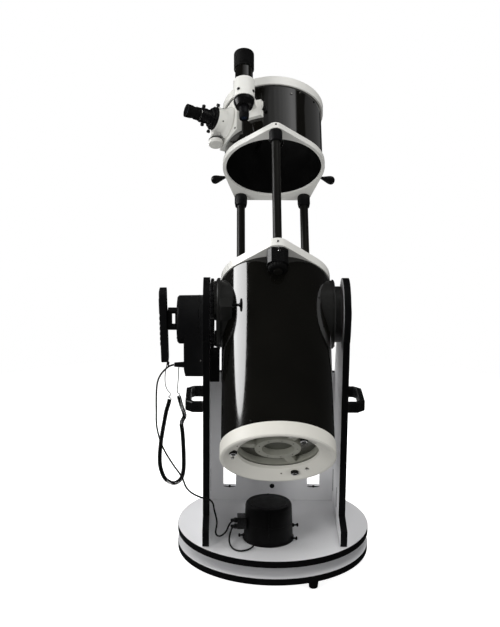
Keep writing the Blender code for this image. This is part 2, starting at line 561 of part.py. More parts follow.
def build_clamp(tube, mats, name, angle):
    """Under each lobe: a block that guides the strut, and the collar that locks it."""
    turn = Matrix.Rotation(-angle, 4, "Z")
    high = RING_BOTTOM - GAP
    slope = 0.012
    outline = [(-CLAMP_HALF, -CLAMP_IN), (-CLAMP_HALF, slope - CLAMP_OUT),
               (slope - CLAMP_HALF, -CLAMP_OUT), (CLAMP_HALF - slope, -CLAMP_OUT),
               (CLAMP_HALF, slope - CLAMP_OUT), (CLAMP_HALF, -CLAMP_IN)]
    block = prism("strut_clamp_" + name, outline, high - CLAMP_T, high, mats["plastic"], tube,
                  rotation=turn)
    bore = STRUT_R + 2 * GAP
    cut(block, rod("clamp_bore", bore, 0.0, 0.2, tube, location=around(angle, STRUT_AT)))
    top = high - CLAMP_T - GAP
    lathe("strut_lock_collar_" + name,
          [(bore, -COLLAR_T), (COLLAR_R - 0.005, -COLLAR_T), (COLLAR_R, 0.006 - COLLAR_T),
           (COLLAR_R, -0.003), (COLLAR_R - 0.002, 0), (bore, 0)], mats["rubber"], tube, steps=40,
          wave=0.0008, waves=10, location=around(angle, STRUT_AT, top))


def build_hubs(tube, mats):
    """Side hubs shaped to the tube; their axles turn in the side panels."""
    left = (HUB_R, HUB_FACE, WHEEL_BOSS_R, WHEEL_IN - GAP, SIDE_OUTER + 0.040)
    right = (HUB_RIGHT_R, HUB_RIGHT_FACE, BEARING_R, SIDE_INNER - 0.003, SIDE_OUTER - 0.001)
    for side, sizes, turn in (("left", left, ALONG_MINUS_X), ("right", right, ALONG_X)):
        radius, face, bearing, shoulder, end = sizes
        profile = [(0, HUB_ROOT), (HUB_NECK_R, HUB_ROOT), (HUB_NECK_R, HUB_STEP), (radius, HUB_STEP),
                   (radius, face - 0.003), (radius - 0.003, face),
                   (bearing, face), (bearing, shoulder), (AXLE_R, shoulder), (AXLE_R, end), (0, end)]
        hub = lathe("altitude_hub_" + side, profile, mats["plastic"], tube, steps=48, rotation=turn)
        if side == "left":
            ear = box("ear", (-0.149, -TENSION_N - 0.012, TENSION_S - 0.013),
                      (-0.118, -0.070, TENSION_S + 0.013), None, tube)
            shoes = [prism("clutch_shoe", arc((0, 0), SHOE_R, middle - span, middle + span, 18),
                           face - 0.001, shoulder, None, tube, rotation=turn)
                     for middle, span in zip((-TUBE_TILT, pi - TUBE_TILT), SHOE_SPANS)]
            join(hub, ear, *shoes)
        cut(hub, rod("tube_space", TUBE_R + GAP, -0.3, 0.3, tube, steps=64))
    lathe("altitude_setting_wheel",
          [(AXLE_R + GAP, WHEEL_IN), (HUB_R - 0.003, WHEEL_IN), (HUB_R - 0.001, WHEEL_IN + 0.002),
           (HUB_R - 0.001, WHEEL_OUT - 0.002), (HUB_R - 0.003, WHEEL_OUT), (AXLE_R + GAP, WHEEL_OUT)],
          mats["plastic"], tube, steps=4 * WHEEL_RIBS, wave=0.0010, waves=WHEEL_RIBS,
          rotation=ALONG_MINUS_X)
    lathe("altitude_tension_knob", [(0, 0), (0.0060, 0), (0.0060, 0.019), (0.0100, 0.0205),
                                    (0.0170, 0.0215), (0.0170, 0.0250), (0.0120, 0.0270), (0, 0.0270)],
          mats["plastic"], tube, steps=24, location=(-0.118 + GAP, -TENSION_N, TENSION_S),
          rotation=ALONG_X)


# ---------------------------------------------------------------- struts and cage
def build_cage(cage, mats):
    ferrule_top = CAGE_RING_BOTTOM - GAP
    for name, angle in STRUT_ANGLES.items():
        lathe("strut_" + name, [(0, STRUT_BOTTOM), (STRUT_R, STRUT_BOTTOM), (STRUT_R, FERRULE_BOTTOM),
                                (STRUT_R + 0.002, FERRULE_BOTTOM), (FERRULE_R, FERRULE_BOTTOM + 0.014),
                                (FERRULE_R, ferrule_top), (0, ferrule_top)],
              mats["gloss"], cage, steps=24, location=around(angle, STRUT_AT))
    ring = prism("cage_lower_ring", lobed_outline(RIM_R - 0.002, CAGE_LOBE_R), CAGE_RING_BOTTOM,
                 CAGE_RING_BOTTOM + CAGE_RING_T, mats["white"], cage)
    cut(ring, rod("ring_bore", RING_BORE_R - 0.001, 0.4, 0.6, cage, steps=64),
        rod("ring_seat", CAGE_R + GAP, CAGE_BOTTOM - GAP, 0.6, cage, steps=64))
    tube = lathe("cage_tube", [(CAGE_R - 0.002, CAGE_BOTTOM), (CAGE_R, CAGE_BOTTOM),
                               (CAGE_R, CAGE_TOP), (CAGE_R - 0.002, CAGE_TOP)],
                 mats["gloss"], cage, steps=64)
    lathe("cage_top_ring", [(CAGE_R + GAP, TOP_RING_BOTTOM), (RIM_R - 0.002, TOP_RING_BOTTOM),
                            (RIM_R - 0.001, TOP_RING_TOP - 0.005), (RIM_R - 0.006, TOP_RING_TOP),
                            (RING_BORE_R, TOP_RING_TOP), (RING_BORE_R, CAGE_TOP + GAP),
                            (CAGE_R + GAP, CAGE_TOP + GAP)], mats["white"], cage, steps=64)
    for side, sign in (("left", 1), ("right", -1)):
        out = Matrix.Rotation(-sign * PEAR_ANGLE, 4, "Z") @ Matrix.Rotation(pi / 2, 4, "X")
        lathe("pear_knob_" + side, [(0, 0), (0.0040, 0), (0.0065, 0.010), (0.0110, 0.024),
                                    (0.0125, 0.033), (0.0105, 0.040), (0.0050, 0.0430), (0, 0.0435)],
              mats["plastic"], cage, steps=20,
              location=around(sign * PEAR_ANGLE, PEAR_AT, PEAR_Z), rotation=out)
    build_secondary(cage, mats)
    return tube


def build_secondary(cage, mats):
    """The diagonal mirror at 45 degrees, its holder and the four-vane spider."""
    slab, centre = 0.010, FOCUSER_Z
    slanted_rod("secondary_mirror", 0.029, centre, centre + slab, (1, 1), mats["mirror"], cage)
    holder = slanted_rod("secondary_spider", 0.026, centre + slab + 0.0008, centre + 0.068,
                         (1, 0), mats["plastic"], cage)
    reach = CAGE_R - 0.002 - GAP
    for turn in (radians(20), radians(110)):
        join(holder, box("vane", (-reach, -0.0010, centre + 0.040), (reach, 0.0010, centre + 0.062),
                         None, cage, rotation=Matrix.Rotation(turn, 4, "Z")))


# ---------------------------------------------------------------- focuser
def build_focuser(focuser, draw, knob, mats, tube, cage):
    skin = rod("tube_skin", CAGE_R + GAP, 0.4, 0.8, cage, steps=64)
    base = prism("focuser_base", [(-BASE_HALF_X, -BASE_HALF_Y), (BASE_HALF_X, -BASE_HALF_Y),
                                  (BASE_HALF_X, BASE_HALF_Y), (-BASE_HALF_X, BASE_HALF_Y)],
                 0.118, 0.1448, mats["white"], focuser)
    body = lathe("body", [(0, 0.130), (0.045, 0.130), (0.045, 0.149), (0.036, 0.160),
                          (0.0340, BODY_TOP), (0, BODY_TOP)], None, focuser, steps=36)
    block = box("pinion_block", (SHAFT_X - 0.010, -0.030, 0.140), (-0.020, 0.030, 0.178), None, focuser)
    join(base, body, block)
    cut(base, skin,
        rod("draw_bore", DRAWTUBE_R + 2 * GAP, 0.1, 0.25, focuser, steps=36),
        rod("shaft_bore", SHAFT_R + 2 * GAP, -0.1, 0.1, focuser, steps=14,
            location=(SHAFT_X, 0, SHAFT_Z), rotation=ALONG_Y))
    cut(tube, rod("light_hole", DRAWTUBE_R + 0.002, 0.10, 0.16, focuser, steps=32))
    ring = BODY_TOP + 2 * GAP
    lathe("focuser_drawtube", [(DRAWTUBE_BORE, DRAWTUBE_BOTTOM), (DRAWTUBE_R, DRAWTUBE_BOTTOM),
                               (DRAWTUBE_R, ring), (0.0320, ring), (0.0320, DRAWTUBE_TOP - 0.001),
                               (0.0310, DRAWTUBE_TOP), (DRAWTUBE_BORE, DRAWTUBE_TOP)],
          mats["anodised"], draw, steps=36)
    adapter_low = DRAWTUBE_TOP + GAP
    lathe("eyepiece_adapter", [(0.0162, adapter_low), (0.0260, adapter_low), (0.0240, adapter_low + 0.006),
                               (0.0205, adapter_low + 0.007), (0.0205, ADAPTER_TOP), (0.0162, ADAPTER_TOP)],
          mats["anodised"], draw, steps=32)
    seat = ADAPTER_TOP + GAP
    lathe("eyepiece", [(0, 0.2000), (0.01585, 0.2000), (0.01585, seat), (0.0190, seat),
                       (0.0190, 0.2480), (0.0172, 0.2500), (0.0172, 0.2560), (0.0190, 0.2580),
                       (0.0190, EYEPIECE_TOP - 0.002), (0.0175, EYEPIECE_TOP), (0.0100, EYEPIECE_TOP),
                       (0.0090, EYEPIECE_TOP - 0.008), (0, EYEPIECE_TOP - 0.008)],
          mats["rubber"], draw, steps=28)
    half = [(SHAFT_R, 0.0), (SHAFT_R, KNOB_IN), (KNOB_R - 0.002, KNOB_IN), (KNOB_R, KNOB_IN + 0.002),
            (KNOB_R, KNOB_OUT - 0.002), (KNOB_R - 0.002, KNOB_OUT), (0, KNOB_OUT)]
    profile = [(r, -z) for r, z in reversed(half)] + half[1:]
    lathe("focus_knobs", profile, mats["white"], knob, steps=60, wave=0.0006, waves=15,
          rotation=ALONG_Y)


# ---------------------------------------------------------------- finder
def build_finder(finder, tilt, mats, cage):
    skin = rod("tube_skin", CAGE_R + GAP, 0.4, 0.8, cage, steps=64)
    low = FINDER_RING_BOTTOM
    bracket = rod("finder_bracket", FINDER_RING_R, low, FINDER_RING_TOP, finder, steps=36)
    bracket.data.materials.append(mats["white"])
    turn = Matrix.Rotation(-SHOE_ANGLE, 4, "Z")
    stalk = box("stalk", (-0.010, -0.180, low + 0.004), (0.010, -0.130, low + 0.026), None, cage,
                rotation=turn)
    shoe = box("shoe", (-0.022, -0.152, low - 0.026), (0.022, -0.130, low + 0.030), None, cage,
               rotation=turn)
    join(bracket, stalk, shoe)
    cut(bracket, skin, rod("finder_space", FINDER_R + 0.0018, 0.5, 0.8, finder, steps=36))
    ring_low = low - 0.0020
    lathe("finder_tube", [(0.0145, FINDER_EYE + 0.040), (0.0235, FINDER_EYE + 0.040),
                          (0.0290, FINDER_EYE + 0.056), (0.0290, ring_low), (FINDER_R, ring_low),
                          (FINDER_R, FINDER_SHADE_BOTTOM), (FINDER_SHADE_R, FINDER_SHADE_BOTTOM),
                          (FINDER_SHADE_R, FINDER_TOP), (0.0260, FINDER_TOP), (0.0260, FINDER_TOP - 0.030),
                          (0.0145, FINDER_TOP - 0.031)],
          mats["gloss"], tilt, steps=36, location=(0, 0, -FINDER_MIDDLE))
    lathe("finder_eyepiece", [(0, FINDER_EYE), (0.0120, FINDER_EYE), (0.0140, FINDER_EYE + 0.003),
                              (0.0140, FINDER_EYE + 0.080), (0, FINDER_EYE + 0.080)],
          mats["rubber"], tilt, steps=24, location=(0, 0, -FINDER_MIDDLE))


# ---------------------------------------------------------------- assembly
def build():
    for old in list(bpy.data.objects):
        bpy.data.objects.remove(old, do_unlink=True)
    mats = make_materials()
    root = frame("azimuth_axis", None, (AZIMUTH_X, AZIMUTH_Y, 0))
    tube = frame("altitude_axis", root, (0, ALTITUDE_Y, ALTITUDE_Z), Matrix.Rotation(-TUBE_TILT, 4, "X"))
    cage = frame("cage_slide", tube)
    outward = Matrix.Rotation(FOCUSER_ANGLE - pi / 2, 4, "Z") @ Matrix.Rotation(pi / 2, 4, "X")
    focuser = frame("focuser_axis", cage, (0, 0, FOCUSER_Z), outward)
    draw = frame("drawtube_slide", focuser)
    knob = frame("focus_shaft_axis", focuser, (SHAFT_X, 0, SHAFT_Z))
    finder = frame("finder_axis", cage, (FINDER_X, -FINDER_N, 0))
    tilt = frame("finder_tilt", finder, (0, 0, FINDER_MIDDLE))
    bolt_hole = build_ground(root, mats)
    axle_hole = build_rocker(root, mats, bolt_hole)
    build_azimuth_drive(root, mats)
    build_altitude_drive(root, mats, axle_hole)
    build_handset(root, mats)
    build_cords(root, mats)
    build_tube(tube, mats)
    build_hubs(tube, mats)
    cage_tube = build_cage(cage, mats)
    build_focuser(focuser, draw, knob, mats, cage_tube, cage)
    build_finder(finder, tilt, mats, cage)


build()
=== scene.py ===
"""Looks of a three-strut dobsonian telescope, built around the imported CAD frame.

Metres, +Z up. Pieces are made in the same coordinates as the CAD and ride on its bodies.
"""
import json
from math import cos, pi, radians, sin, sqrt, tau

import bmesh
import bpy
from mathutils import Matrix, Vector


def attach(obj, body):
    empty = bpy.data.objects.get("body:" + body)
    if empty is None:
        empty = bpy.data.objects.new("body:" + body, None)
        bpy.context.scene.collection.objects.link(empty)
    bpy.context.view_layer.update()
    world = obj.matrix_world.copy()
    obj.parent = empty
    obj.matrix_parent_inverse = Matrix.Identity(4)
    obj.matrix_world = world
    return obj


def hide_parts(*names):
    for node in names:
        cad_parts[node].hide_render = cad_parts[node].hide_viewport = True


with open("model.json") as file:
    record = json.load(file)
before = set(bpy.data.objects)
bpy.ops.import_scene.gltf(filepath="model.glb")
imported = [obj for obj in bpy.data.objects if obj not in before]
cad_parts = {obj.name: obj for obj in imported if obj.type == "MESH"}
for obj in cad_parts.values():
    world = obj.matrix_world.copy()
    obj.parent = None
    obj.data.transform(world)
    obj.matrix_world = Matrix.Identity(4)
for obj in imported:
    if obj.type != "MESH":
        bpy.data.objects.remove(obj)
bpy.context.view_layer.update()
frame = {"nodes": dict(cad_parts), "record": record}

NODES = frame["nodes"]
NODE_BODY = {n: b for b, ns in frame["record"]["behaviour"]["bodies"].items() for n in ns}
NODE_SLOT = {row["node"]: row["material_slot"] for row in frame["record"]["subparts"]}

# ---- the CAD's own axes and sizes that the details are placed from
AZIMUTH = Vector((0.023, -0.079, 0.0))
ALTITUDE_Y, ALTITUDE_Z, TILT = -0.0147, 0.705, radians(44.44)
FOCUSER_ANGLE, FOCUSER_S = radians(25.1), 0.5934
BASE_RADIUS, BOARD = 0.265, 0.0185
GROUND_BOTTOM, ROCKER_TOP = 0.0315, 0.1
PANEL, SIDE_OUTER, SIDE_INNER = 0.0181, 0.1945, 0.1764
FRONT_Y, FRONT_TOP, PANEL_REAR_Y = 0.151, 0.49, 0.17
TUBE_R, CAGE_R = 0.145, 0.14
STRUT_AT = 0.17
STRUT_ANGLES = {"front": 0.0, "left": radians(147.0), "right": radians(-147.0)}
SPIDER_ANGLES = (radians(170), radians(-66), radians(58))
GRAIN_DEPTH = 0.0004      # how deep a finish's fine grain goes
WELD, FLAT = 3e-6, radians(0.5)      # what counts as one point, and as one plane, in a CAD mesh


def turned(axis, degrees):
    return Matrix.Rotation(radians(degrees), 4, axis)


def moved(x=0.0, y=0.0, z=0.0):
    return Matrix.Translation((x, y, z))


ROOT = Matrix.Translation(AZIMUTH)
TUBE = ROOT @ moved(0, ALTITUDE_Y, ALTITUDE_Z) @ Matrix.Rotation(-TILT, 4, "X")
FOCUSER = (TUBE @ moved(0, 0, FOCUSER_S) @ Matrix.Rotation(FOCUSER_ANGLE - pi / 2, 4, "Z") @ turned("X", 90))
FINDER = TUBE @ moved(-0.087, -0.182, 0)
HANDSET = ROOT @ moved(-0.3, -0.02, 0.6735) @ turned("Y", -1.5)
ALONG_X = turned("Y", 90)
ALONG_MINUS_X = turned("Y", -90)
ALONG_Y = turned("X", -90)
ALONG_MINUS_Y = turned("X", 90)


def around(angle, radius, z=0.0):
    """A place round the tube, in its frame: angle 0 faces the open side, positive to -X."""
    return moved(-radius * sin(angle), -radius * cos(angle), z)


def radial(angle, radius, z=0.0):
    """The frame at that place whose Z points straight out of the tube."""
    return around(angle, radius, z) @ Matrix.Rotation(-angle, 4, "Z") @ ALONG_MINUS_Y


def enter(name, data):
    thing = bpy.data.objects.new(name, data)
    bpy.context.scene.collection.objects.link(thing)
    return thing


# ---------------------------------------------------------------- camera
def make_camera():
    distance, height, aside = 3.5027, 1.6238, 0.0693
    down, yaw, roll = radians(14.75), radians(0.9), radians(0.51)
    turn = Matrix.Rotation(-yaw, 4, "Z")
    camera = enter("camera", bpy.data.cameras.new("camera"))
    place = turn @ Vector((-aside, -distance, height)) + AZIMUTH
    aim = turn @ Matrix.Rotation(pi / 2 - down, 4, "X") @ Matrix.Rotation(roll, 4, "Z")
    camera.matrix_world = Matrix.Translation(place) @ aim
    camera.data.sensor_width = 36
    camera.data.lens = 77.19
    camera.data.clip_end = 200
    bpy.context.scene.camera = camera
    return place


CAMERA_PLACE = make_camera()


# ---------------------------------------------------------------- materials
def node_tree(name):
    mat = bpy.data.materials.new(name)
    mat.use_nodes = True
    return mat, mat.node_tree, mat.node_tree.nodes["Principled BSDF"]


def put(node, **values):
    """Sets a node's inputs; an underscore stands for the space in an input's name."""
    for key, value in values.items():
        node.inputs[key.replace("_", " ")].default_value = value


def noise(tree, place, scale, detail=3.0, stretch=None):
    node = tree.nodes.new("ShaderNodeTexNoise")
    put(node, Scale=scale, Detail=detail)
    if stretch:
        mapping = tree.nodes.new("ShaderNodeMapping")
        put(mapping, Scale=stretch)
        tree.links.new(place, mapping.inputs["Vector"])
        place = mapping.outputs["Vector"]
    tree.links.new(place, node.inputs["Vector"])
    return node.outputs["Fac"]


def spread(tree, value, low, high, out_low, out_high):
    node = tree.nodes.new("ShaderNodeMapRange")
    tree.links.new(value, node.inputs["Value"])
    put(node, From_Min=low, From_Max=high, To_Min=out_low, To_Max=out_high)
    return node.outputs["Result"]


def blend_colours(tree, factor, dark, light):
    node = tree.nodes.new("ShaderNodeMix")
    node.data_type = "RGBA"
    for socket, value in ((node.inputs[6], dark), (node.inputs[7], light)):
        if isinstance(value, tuple):
            socket.default_value = (*value, 1.0)
        else:
            tree.links.new(value, socket)
    tree.links.new(factor, node.inputs[0])
    return node.outputs[2]


def surface(name, colour, roughness, mottle, patch, grain, bump, metallic=0.0, rough_spread=0.06,
            coat=0.0, coat_roughness=0.06, stretch=None, specular=0.5):
    """A finish with slow colour variation, fine grain in its bump and uneven roughness."""
    mat, tree, shader = node_tree(name)
    place = tree.nodes.new("ShaderNodeTexCoord").outputs["Object"]
    slow = noise(tree, place, patch, 4.0, stretch)
    fine = noise(tree, place, grain, 2.0, stretch)
    dark = tuple(c * (1 - mottle) for c in colour)
    light = tuple(min(1.0, c * (1 + mottle)) for c in colour)
    base = blend_colours(tree, spread(tree, slow, 0.3, 0.7, 0, 1), dark, light)
    tree.links.new(base, shader.inputs["Base Color"])
    uneven = spread(tree, noise(tree, place, patch * 3, 3.0), 0.3, 0.7, max(0.02, roughness - rough_spread),
        roughness + rough_spread)
    tree.links.new(uneven, shader.inputs["Roughness"])
    put(shader, Metallic=metallic, Specular_IOR_Level=specular, Coat_Weight=coat,
        Coat_Roughness=coat_roughness)
    relief = tree.nodes.new("ShaderNodeBump")
    put(relief, Strength=bump, Distance=GRAIN_DEPTH)
    tree.links.new(fine, relief.inputs["Height"])
    tree.links.new(relief.outputs["Normal"], shader.inputs["Normal"])
    return mat


def glass(name, tint, roughness=0.02):
    mat, tree, shader = node_tree(name)
    place = tree.nodes.new("ShaderNodeTexCoord").outputs["Object"]
    haze = noise(tree, place, 40, 3)
    tree.links.new(spread(tree, haze, 0.3, 0.7, roughness, roughness + 0.03), shader.inputs["Roughness"])
    tree.links.new(blend_colours(tree, haze, tint, tuple(min(1, c * 1.3) for c in tint)),
        shader.inputs["Base Color"])
    put(shader, IOR=1.52, Coat_Weight=1.0, Coat_Tint=(0.75, 0.85, 1.0, 1.0))
    return mat


# key: name, colour, roughness, mottle, patches a metre, grain, bump, and what is special
M = {
    "laminate": surface("laminate_white", (0.79, 0.79, 0.8), 0.38, 0.015, 5, 420, 0.05, rough_spread=0.05,
        specular=0.4),
    "banding": surface("edge_banding_black", (0.0035, 0.0035, 0.0038), 0.42, 0.2, 30, 900, 0.08,
        specular=0.15),
    "white": surface("powder_coat_white", (0.78, 0.775, 0.735), 0.36, 0.02, 12, 900, 0.1, rough_spread=0.05,
        coat=0.15, coat_roughness=0.2),
    "cell": surface("cast_rim_white", (0.74, 0.725, 0.665), 0.42, 0.03, 14, 700, 0.12, rough_spread=0.06),
    "casting": surface("casting_grey", (0.36, 0.36, 0.31), 0.45, 0.07, 25, 600, 0.16, metallic=0.15),
    "mirror_back": surface("mirror_back_olive", (0.045, 0.045, 0.034), 0.3, 0.15, 18, 300, 0.05, coat=0.3),
    "mirror_hub": surface("mirror_back_disc", (0.085, 0.088, 0.07), 0.4, 0.12, 40, 900, 0.1),
    "gloss": surface("enamel_black", (0.004, 0.0038, 0.003), 0.1, 0.25, 6, 160, 0.01, rough_spread=0.02,
        coat=0.7, coat_roughness=0.05),
    "flock": surface("inside_flat_black", (0.003, 0.003, 0.003), 0.92, 0.3, 20, 1200, 0.3, specular=0.1),
    "plastic": surface("moulded_plastic_black", (0.0045, 0.0045, 0.0048), 0.5, 0.15, 20, 1500, 0.25,
        rough_spread=0.07, specular=0.25),
    "satin": surface("satin_plastic_black", (0.004, 0.004, 0.0041), 0.28, 0.15, 20, 900, 0.05,
        rough_spread=0.05, specular=0.35),
    # the hubs' base colour is a dark grey, lighter than the other black plastics: painted sheen in the
    # colour
    "hub": surface("hub_black_painted_sheen", (0.0125, 0.0125, 0.0118), 0.38, 0.12, 20, 900, 0.08,
        rough_spread=0.06, specular=0.4),
    "drum": surface("drum_black", (0.002, 0.002, 0.0021), 0.45, 0.15, 20, 1200, 0.12, rough_spread=0.06,
        specular=0.15),
    "pole": surface("strut_enamel_black", (0.006, 0.0058, 0.005), 0.34, 0.2, 8, 400, 0.03, rough_spread=0.05,
        specular=0.3),
    "rubber": surface("rubber_black", (0.004, 0.004, 0.004), 0.72, 0.2, 40, 1800, 0.3, rough_spread=0.08,
        specular=0.2),
    "cable": surface("cable_sheath_black", (0.0035, 0.0035, 0.0035), 0.42, 0.2, 60, 1200, 0.08,
        rough_spread=0.06, specular=0.25),
    "anodised": surface("anodised_black", (0.007, 0.007, 0.0078), 0.3, 0.12, 40, 1400, 0.05, metallic=0.3,
        stretch=(1, 1, 8), specular=0.35),
    "steel": surface("plated_steel", (0.62, 0.61, 0.58), 0.18, 0.06, 60, 1200, 0.03, metallic=1.0,
        rough_spread=0.06),
    "chrome": surface("bright_chrome", (0.8, 0.8, 0.79), 0.06, 0.03, 30, 600, 0.01, metallic=1.0,
        rough_spread=0.03),
    "mirror": surface("mirror_coating", (0.86, 0.88, 0.88), 0.02, 0.01, 8, 80, 0.002, metallic=1.0,
        rough_spread=0.01),
    "ground_glass": surface("ground_glass_edge", (0.33, 0.38, 0.35), 0.55, 0.06, 30, 1500, 0.2),
    "lens": glass("coated_lens", (0.01, 0.014, 0.022)),
    "screen": glass("display_window", (0.018, 0.022, 0.018), 0.08),
    "key": surface("key_rubber_grey", (0.1, 0.1, 0.1), 0.6, 0.06, 60, 1500, 0.15),
}


# ---------------------------------------------------------------- shapes
def mm(*points):
    """Points written in millimetres, in metres."""
    return [tuple(round(v / 1000, 7) for v in point) for point in points]


def ribs(depth, count, beyond):
    """Ribs round a grip, for Shape.turn, where its radius is more than beyond."""
    return lambda r, z, a: depth * cos(count * a) if r > beyond else 0.0


class Shape:
    """Vertices and faces of one piece, gathered from lathes, prisms and screws."""

    def __init__(self):
        self.vertices, self.faces, self.zones = [], [], []

    def add(self, vertices, faces, place, zone):
        start = len(self.vertices)
        self.vertices += [place @ Vector(v) for v in vertices]
        self.faces += [[start + i for i in f] for f in faces]
        self.zones += zone if isinstance(zone, list) else [zone] * len(faces)
        return self

    def turn(self, profile, place, steps, zone=0, flute=None):
        """Turn (radius, z) about Z; radius 0 closes an end, and no such point closes a ring.
        zone is one number, or a list with one for each stretch of the profile."""
        closed = all(r > 0 for r, z in profile)
        vertices, rows, faces, zones = [], [], [], []
        for r, z in profile:
            if r == 0:
                rows.append([len(vertices)] * steps)
                vertices.append((0, 0, z))
                continue
            rows.append(list(range(len(vertices), len(vertices) + steps)))
            for k in range(steps):
                a = tau * k / steps
                here = r + (flute(r, z, a) if flute else 0.0)
                vertices.append((here * cos(a), here * sin(a), z))
        following = rows[1:] + rows[:1] if closed else rows[1:]
        for stretch, (lower, upper) in enumerate(zip(rows, following)):
            for k in range(steps):
                n = (k + 1) % steps
                loop = [lower[k], lower[n], upper[n], upper[k]]
                loop = [v for i, v in enumerate(loop) if v not in loop[:i]]
                if len(loop) > 2:
                    faces.append(loop)
                    zones.append(zone[stretch] if isinstance(zone, (list, tuple)) else zone)
        return self.add(vertices, faces, place, zones)

    def prism(self, outline, low, high, place, zone=0):
        count = len(outline)
        vertices = [(x, y, low) for x, y in outline] + [(x, y, high) for x, y in outline]
        faces = [list(range(count)), list(range(count, 2 * count))]
        faces += [[i, (i + 1) % count, (i + 1) % count + count, i + count] for i in range(count)]
        return self.add(vertices, faces, place, zone)

    def box(self, low, high, place):
        (a, b, c), (d, e, f) = low, high
        return self.prism([(a, b), (d, b), (d, e), (a, e)], c, f, place)

    def screw(self, place, radius, height):
        """A button head with a hexagon socket; Z points out and z = 0 is the seat."""
        deep, socket = height * 0.45, radius * 0.5

        def hexagon(r, z, a):
            return socket / cos(a % (pi / 3) - pi / 6) * cos(pi / 6) - r if r <= socket else 0.0
        return self.turn([(0, deep), (socket, deep), (socket, height * 0.96), (radius * 0.66, height),
            (radius * 0.88, height * 0.8), (radius, deep), (radius, 0), (0, 0)], place, 24, 0, hexagon)

    def screws(self, place, count, reach, z, radius, height, start=0.5):
        """A ring of screws about Z; start is how many steps round the first one is."""
        for k in range(count):
            a = tau * (k + start) / count
            self.screw(place @ moved(reach * cos(a), reach * sin(a), z), radius, height)

    def make(self, name, body, mats, slot, bevel=0.0, angle=35, replaces=()):
        work = bmesh.new()
        points = [work.verts.new(v) for v in self.vertices]
        for face, zone in zip(self.faces, self.zones):
            work.faces.new([points[i] for i in face]).material_index = zone
        return finish_piece(work, name, body, mats, bevel, angle, replaces)

    def stand_in(self, node, suffix, mats, bevel=0.0, angle=35):
        """Makes the piece that replaces a CAD node, on the node's body."""
        return self.make(node + suffix, NODE_BODY[node], mats, NODE_SLOT[node], bevel, angle, (node,))


def finish_piece(work, name, body, mats, bevel, angle, replaces, segments=2):
    bmesh.ops.recalc_face_normals(work, faces=work.faces)
    if bevel:
        sharp = [e for e in work.edges if len(e.link_faces) == 2 and e.is_convex and e.calc_face_angle() >
            radians(angle - 5)]
        bmesh.ops.bevel(work, geom=sharp, offset=bevel, segments=segments, profile=0.6, affect="EDGES",
            clamp_overlap=True)
        bmesh.ops.recalc_face_normals(work, faces=work.faces)
    mesh = bpy.data.meshes.new(name)
    for key in mats.split():
        mesh.materials.append(M[key])
    work.to_mesh(mesh)
    work.free()
    for key in ("custom_normal", "sharp_face"):
        if key in mesh.attributes:
            mesh.attributes.remove(mesh.attributes[key])
    mesh.shade_smooth()
    mesh.set_sharp_from_angle(angle=radians(angle))
    thing = enter(name, mesh)
    thing.modifiers.new("even_normals", "WEIGHTED_NORMAL").keep_sharp = True
    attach(thing, body)
    if replaces:
        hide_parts(*replaces)
    return thing


def dress(node, mats, bevel=0.0006, segments=2, angle=35, zone=None):
    """The CAD node's own shape with softened edges and smooth rounds, in its place.
    zone(centre, normal) chooses a face's material from its place and direction."""
    work = bmesh.new()
    work.from_mesh(NODES[node].data)
    bmesh.ops.remove_doubles(work, verts=work.verts, dist=WELD)
    bmesh.ops.dissolve_limit(work, angle_limit=FLAT, verts=work.verts, edges=work.edges)
    bmesh.ops.recalc_face_normals(work, faces=work.faces)
    for face in work.faces:
        face.material_index = zone(face.calc_center_median(), face.normal) if zone else 0
    return finish_piece(work, node + "_finish", NODE_BODY[node], mats, bevel, angle,
        (node,), segments)


# ---------------------------------------------------------------- cords
def smooth_route(points, spacing):
    """Points spacing apart along a Catmull-Rom curve through the route's own points."""
    route = [Vector(p) for p in points]
    ends = [2 * route[0] - route[1]] + route + [2 * route[-1] - route[-2]]
    fine = []
    for a, b, c, d in zip(ends, ends[1:], ends[2:], ends[3:]):
        for k in range(24):
            t = k / 24
            fine.append(0.5 * (2 * b + (c - a) * t + (2 * a - 5 * b + 4 * c - d) * t ** 2 +
                (3 * b - a - 3 * c + d) * t ** 3))
    fine.append(route[-1])
    length = sum((q - p).length for p, q in zip(fine, fine[1:]))
    count = max(4, round(length / spacing))
    even, walked, target = [fine[0]], 0.0, length / count
    for p, q in zip(fine, fine[1:]):
        step = (q - p).length
        while walked + step >= target and len(even) < count:
            even.append(p.lerp(q, (target - walked) / step))
            target += length / count
        walked += step
    return even + [fine[-1]]


def length_of(points):
    return sum((q - p).length for p, q in zip(points, points[1:]))


def wire(name, points, radius, body, key, resolution=4):
    curve = bpy.data.curves.new(name, "CURVE")
    curve.dimensions = "3D"
    curve.bevel_depth = radius
    curve.bevel_resolution = resolution
    curve.use_fill_caps = True
    spline = curve.splines.new("POLY")
    spline.points.add(len(points) - 1)
    for point, place in zip(spline.points, points):
        point.co = (*place, 1.0)
    spline.use_smooth = True
    curve.materials.append(M[key])
    thing = enter(name, curve)
    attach(thing, body)
    return thing


def coiled(points, radius, pitch, per_turn, taper):
    """A helix round the line through points that opens out, and closes up, over taper. Its
    pitch is longer there, so that no turn bends tighter than the full coil's."""
    line = smooth_route(points, 0.0004)
    total, side, angle, walked, due, out = length_of(line), Vector((0, 1, 0)), 0.0, 0.0, 0.0, []
    for i, here in enumerate(line):
        ahead = (line[min(i + 1, len(line) - 1)] - line[max(i - 1, 0)]).normalized()
        side = (side - ahead * side.dot(ahead)).normalized()
        opened = min(1.0, walked / taper, (total - walked) / taper)
        eased = opened * opened * (3 - 2 * opened)
        if angle >= due:
            across = ahead.cross(side)
            out.append(here + (side * cos(angle) + across * sin(angle)) * radius * eased)
            due = angle + tau / per_turn
        if i + 1 < len(line):
            step = (line[i + 1] - here).length
            open_r = radius * max(0.5, eased)
            tightest = radius + pitch ** 2 / (tau ** 2 * radius)
            angle += tau * step / (tau * sqrt(open_r * (tightest - open_r)))
            walked += step
    return out


